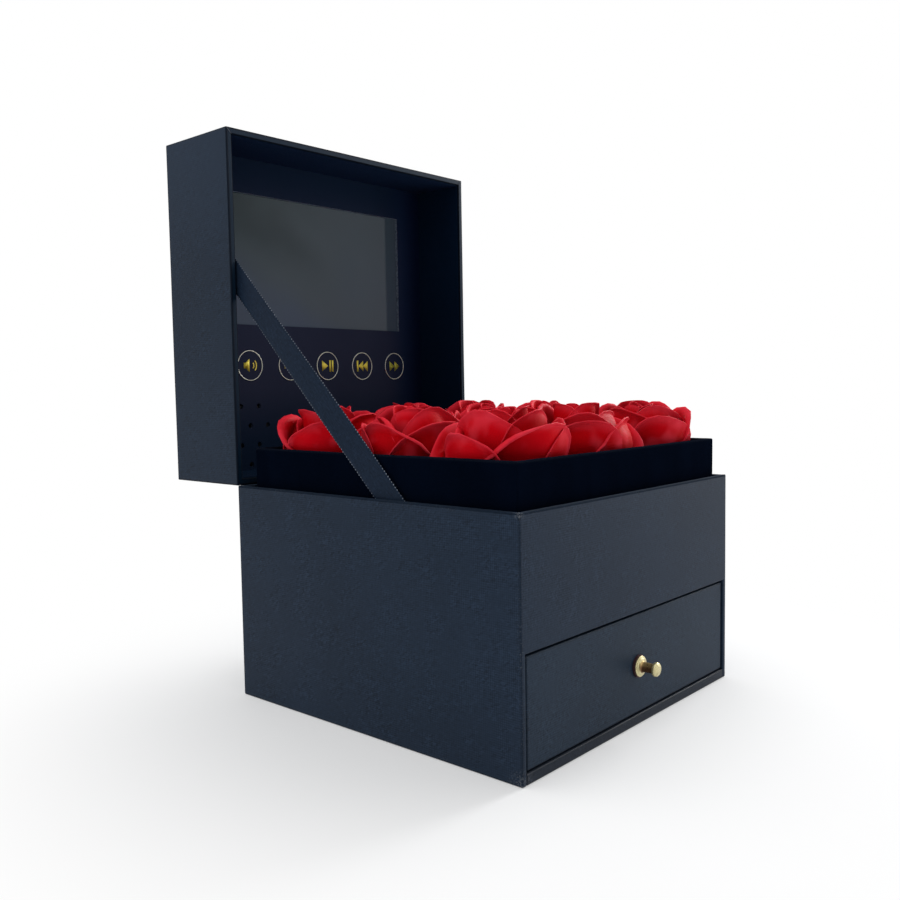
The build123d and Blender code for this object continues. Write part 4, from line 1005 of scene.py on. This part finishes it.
def rose(name, seed, turn):
    """A full-blown rose: layers of petals, each wider and more open than the one inside it."""
    low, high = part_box(name)
    middle = (low.x + high.x) / 2 / MM, (low.y + high.y) / 2 / MM
    rng = random.Random(seed)
    points, where, faces = [], [], []
    start = math.radians(turn)
    for layer, (count, width, profile, radius, roll) in enumerate(reversed(LAYERS)):
        for n in range(count):
            angle = start + 2 * math.pi * (n + (rng.uniform(-0.12, 0.12) if n else 0)) / count
            grow, lean = rng.uniform(0.92, 1.04) if n else 1.05, rng.uniform(-0.9, 0.9)
            line = [
                (max(0.5, out + lean * k / 3), up * (grow if k > 1 else 1)) for k, (out, up) in enumerate(profile)
            ]
            wide = width * rng.uniform(0.92, 1.10)
            rim = (roll[0] * rng.uniform(0.7, 1.3), math.radians(roll[1]) * rng.uniform(0.6, 1.3))
            p, w, f = petal(rng, angle, wide, line, radius, rim)
            faces += [tuple(len(points) + c for c in face) for face in f]
            points += [seated(q, middle, 1.2 * layer) for q in p]
            where += w
        start += rng.uniform(0.5, 0.8)
    mesh = mesh_of(name, points, faces)
    keep(mesh, "petal", where)
    made = piece(name, mesh, SLOT_FINISH["rose_petal"], "base", [name], even=False)
    made.name = name + "_bloom"
    thick = made.modifiers.new("thick", "SOLIDIFY")
    thick.thickness, thick.offset = PETAL_THICK, 0.0
    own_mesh(made)


# each rose's random seed and its turn in degrees
ROSES = {
    "rose_front_left": (121, 244.6),
    "rose_front_centre": (152, 75.0),
    "rose_front_right": (153, 316.0),
    "rose_middle_left": (114, 40.0),
    "rose_middle_centre": (115, 0.0),
    "rose_middle_right": (116, 55.0),
    "rose_back_left": (107, 138.0),
    "rose_back_centre": (118, 65.0),
    "rose_back_right": (119, 15.0),
}
for name, (seed, turn) in ROSES.items():
    rose(name, seed, turn)


# ---- printed rings and icons
def ring_arc(radius, width, first, last, centre=(0, 0), steps=72):
    """Outline of an arc of a ring. A whole turn is closed."""
    whole = abs(last - first) >= 360
    angles = [math.radians(first + (last - first) * n / steps) for n in range(steps + (0 if whole else 1))]
    outer, inner = (
        [(centre[0] + r * math.cos(a), centre[1] + r * math.sin(a)) for a in angles] for r in (radius, radius - width)
    )
    return outer, inner, whole


def print_mesh(name, shapes, arcs, x, up, front, thick=0.09):
    """Flat printed shapes raised a little from a face that looks towards -y."""
    bm = bmesh.new()

    def lay(outline):
        return [bm.verts.new(((x + a) * MM, front * MM, (up + b) * MM)) for a, b in outline]

    for outline in shapes:
        bm.faces.new(lay(outline))
    for outer, inner, whole in arcs:
        a, b = lay(outer), lay(inner)
        count = len(a) if whole else len(a) - 1
        for n in range(count):
            m = (n + 1) % len(a)
            bm.faces.new((a[n], a[m], b[m], b[n]))
    bmesh.ops.recalc_face_normals(bm, faces=bm.faces)
    for face in bm.faces:
        if face.normal.y > 0:
            face.normal_flip()
    lifted = bmesh.ops.extrude_face_region(bm, geom=bm.faces[:])
    for v in lifted["geom"]:
        if isinstance(v, bmesh.types.BMVert):
            v.co.y -= thick * MM
    return settled(bm, bpy.data.meshes.new(name))


def triangle(x0, x1, half):
    return [(x0, -half), (x1, 0), (x0, half)]


def bar(x0, x1, half):
    return [(x0, -half), (x1, -half), (x1, half), (x0, half)]


SPEAKER = [(-5.2, -1.9), (-3.4, -1.9), (-0.6, -4.4), (-0.6, 4.4), (-3.4, 1.9), (-5.2, 1.9)]
NEAR_WAVE = ring_arc(3.1, 0.8, -42, 42, (0.2, 0), 16)
FAR_WAVE = ring_arc(5.2, 0.8, -42, 42, (0.2, 0), 20)
ICONS = {
    "button_volume_up": ([SPEAKER], [NEAR_WAVE, FAR_WAVE]),
    "button_volume_down": ([SPEAKER], [NEAR_WAVE]),
    "button_play_pause": ([triangle(-5.3, 0.3, 3.8), bar(1.5, 3.0, 4.1), bar(3.9, 5.4, 4.1)], []),
    "button_previous": ([bar(-5.5, -3.9, 4.0), triangle(0.9, -3.9, 3.9), triangle(5.5, 0.7, 3.9)], []),
    "button_next": ([triangle(-5.3, -0.1, 3.9), triangle(0.1, 5.3, 3.9)], []),
}
INK = (2200, 300, 0.1)  # the grain, cloud and bump of every print
gold = stuff("print_gold", (0.78, 0.64, 0.060), (0.86, 0.72, 0.110), (0.45, 0.60), *INK, metallic=0.30)
# painted shade: a dimmer gold for the next icon, standing in for the shade of the lid's right wall
gold_in_painted_shade = stuff("print_gold_painted_shade", (0.36, 0.35, 0.036), (0.46, 0.44, 0.060), (0.50, 0.65), *INK, metallic=0.25)
pale = stuff("print_ring", (0.80, 0.80, 0.67), (0.90, 0.90, 0.79), (0.40, 0.55), *INK, metallic=0.4)
CAP_RING = ring_arc(CAP_R - 0.20, 0.40, 0, 360)
for name, icon in ICONS.items():
    low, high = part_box(name)
    place = (low.x + high.x) / 2 / MM, (low.z + high.z) / 2 / MM, CAP_FRONT
    # the next icon is printed in the gold with painted shade
    ink = gold_in_painted_shade if name == "button_next" else gold
    for kind, drawing, colour in (("icon", icon, ink), ("ring", ([], [CAP_RING]), pale)):
        mesh = print_mesh(name, *drawing, *place)
        piece(name.replace("button", kind), mesh, colour, name, even=False)

# ---- floor, light and camera
bpy.ops.mesh.primitive_plane_add(size=12.0, location=(0, 0, -0.0002))
ground = bpy.context.object
ground.name = "floor"
ground.data.materials.append(floor_white("floor_white"))


def lamp(name, place, target, size, power):
    """A round lamp at a place, turned to a target."""
    made = placed(name, bpy.data.lights.new(name, "AREA"))
    made.data.shape, made.data.size, made.data.energy = "DISK", size, power
    made.location = place
    made.rotation_euler = (Vector(target) - Vector(place)).to_track_quat("-Z", "Y").to_euler()


lamp("key", (1.70, -0.25, 0.95), (0, 0, 0.14), 0.9, 27.0)
lamp("low", (1.55, -1.05, 0.10), (0.05, -0.10, 0.07), 0.3, 1.5)
lamp("top", (-0.5, 0.3, 1.8), (0, 0, 0.12), 1.2, 5.0)

world = bpy.data.worlds.new("studio")
scene.world = world
world.use_nodes = True
sky = Nodes(world.node_tree)
way = sky.axes(sky.add("TexCoord").outputs["Generated"])
ambient = sky.tree.nodes["Background"].inputs
sky.put(ambient["Color"], sky.blend(sky.ramp(way[2], 0, 1, smooth=False), (0.62, 0.63, 0.65), (0.98, 0.99, 1.0)))
sky.put(ambient["Strength"], sky.ramp(way[1], -1.0, 0.0, 0.35, 1.0, smooth=False))
white = sky.add("Background")
sky.put(white.inputs["Color"], (1, 1, 1))
shown = sky.mix_shaders(sky.seen(), sky.tree.nodes["Background"].outputs[0], white.outputs[0])
sky.put(sky.tree.nodes["World Output"].inputs["Surface"], shown)

# the camera that took the photograph, solved from the box's corners
CAMERA_PLACE = (-0.4436, -0.3625, 0.1883)
LENS, SENSOR = 37.275, 36.0
AZIMUTH, ELEVATION, ROLL = (math.radians(a) for a in (-48.56, 4.03, -0.95))
right = Vector((math.cos(AZIMUTH), math.sin(AZIMUTH), 0))
level = math.cos(ELEVATION)
back = Vector((math.sin(AZIMUTH) * level, -math.cos(AZIMUTH) * level, math.sin(ELEVATION)))
above = back.cross(right)
turned_right = math.cos(ROLL) * right + math.sin(ROLL) * above
turned_up = -math.sin(ROLL) * right + math.cos(ROLL) * above
facing = Matrix((turned_right, turned_up, back)).transposed().to_4x4()
camera = placed("camera", bpy.data.cameras.new("camera"))
camera.data.lens, camera.data.sensor_width = LENS, SENSOR
camera.data.clip_start, camera.data.clip_end = 0.02, 50.0
camera.matrix_world = Matrix.Translation(CAMERA_PLACE) @ facing
scene.camera = camera
scene.view_settings.view_transform = "Standard"
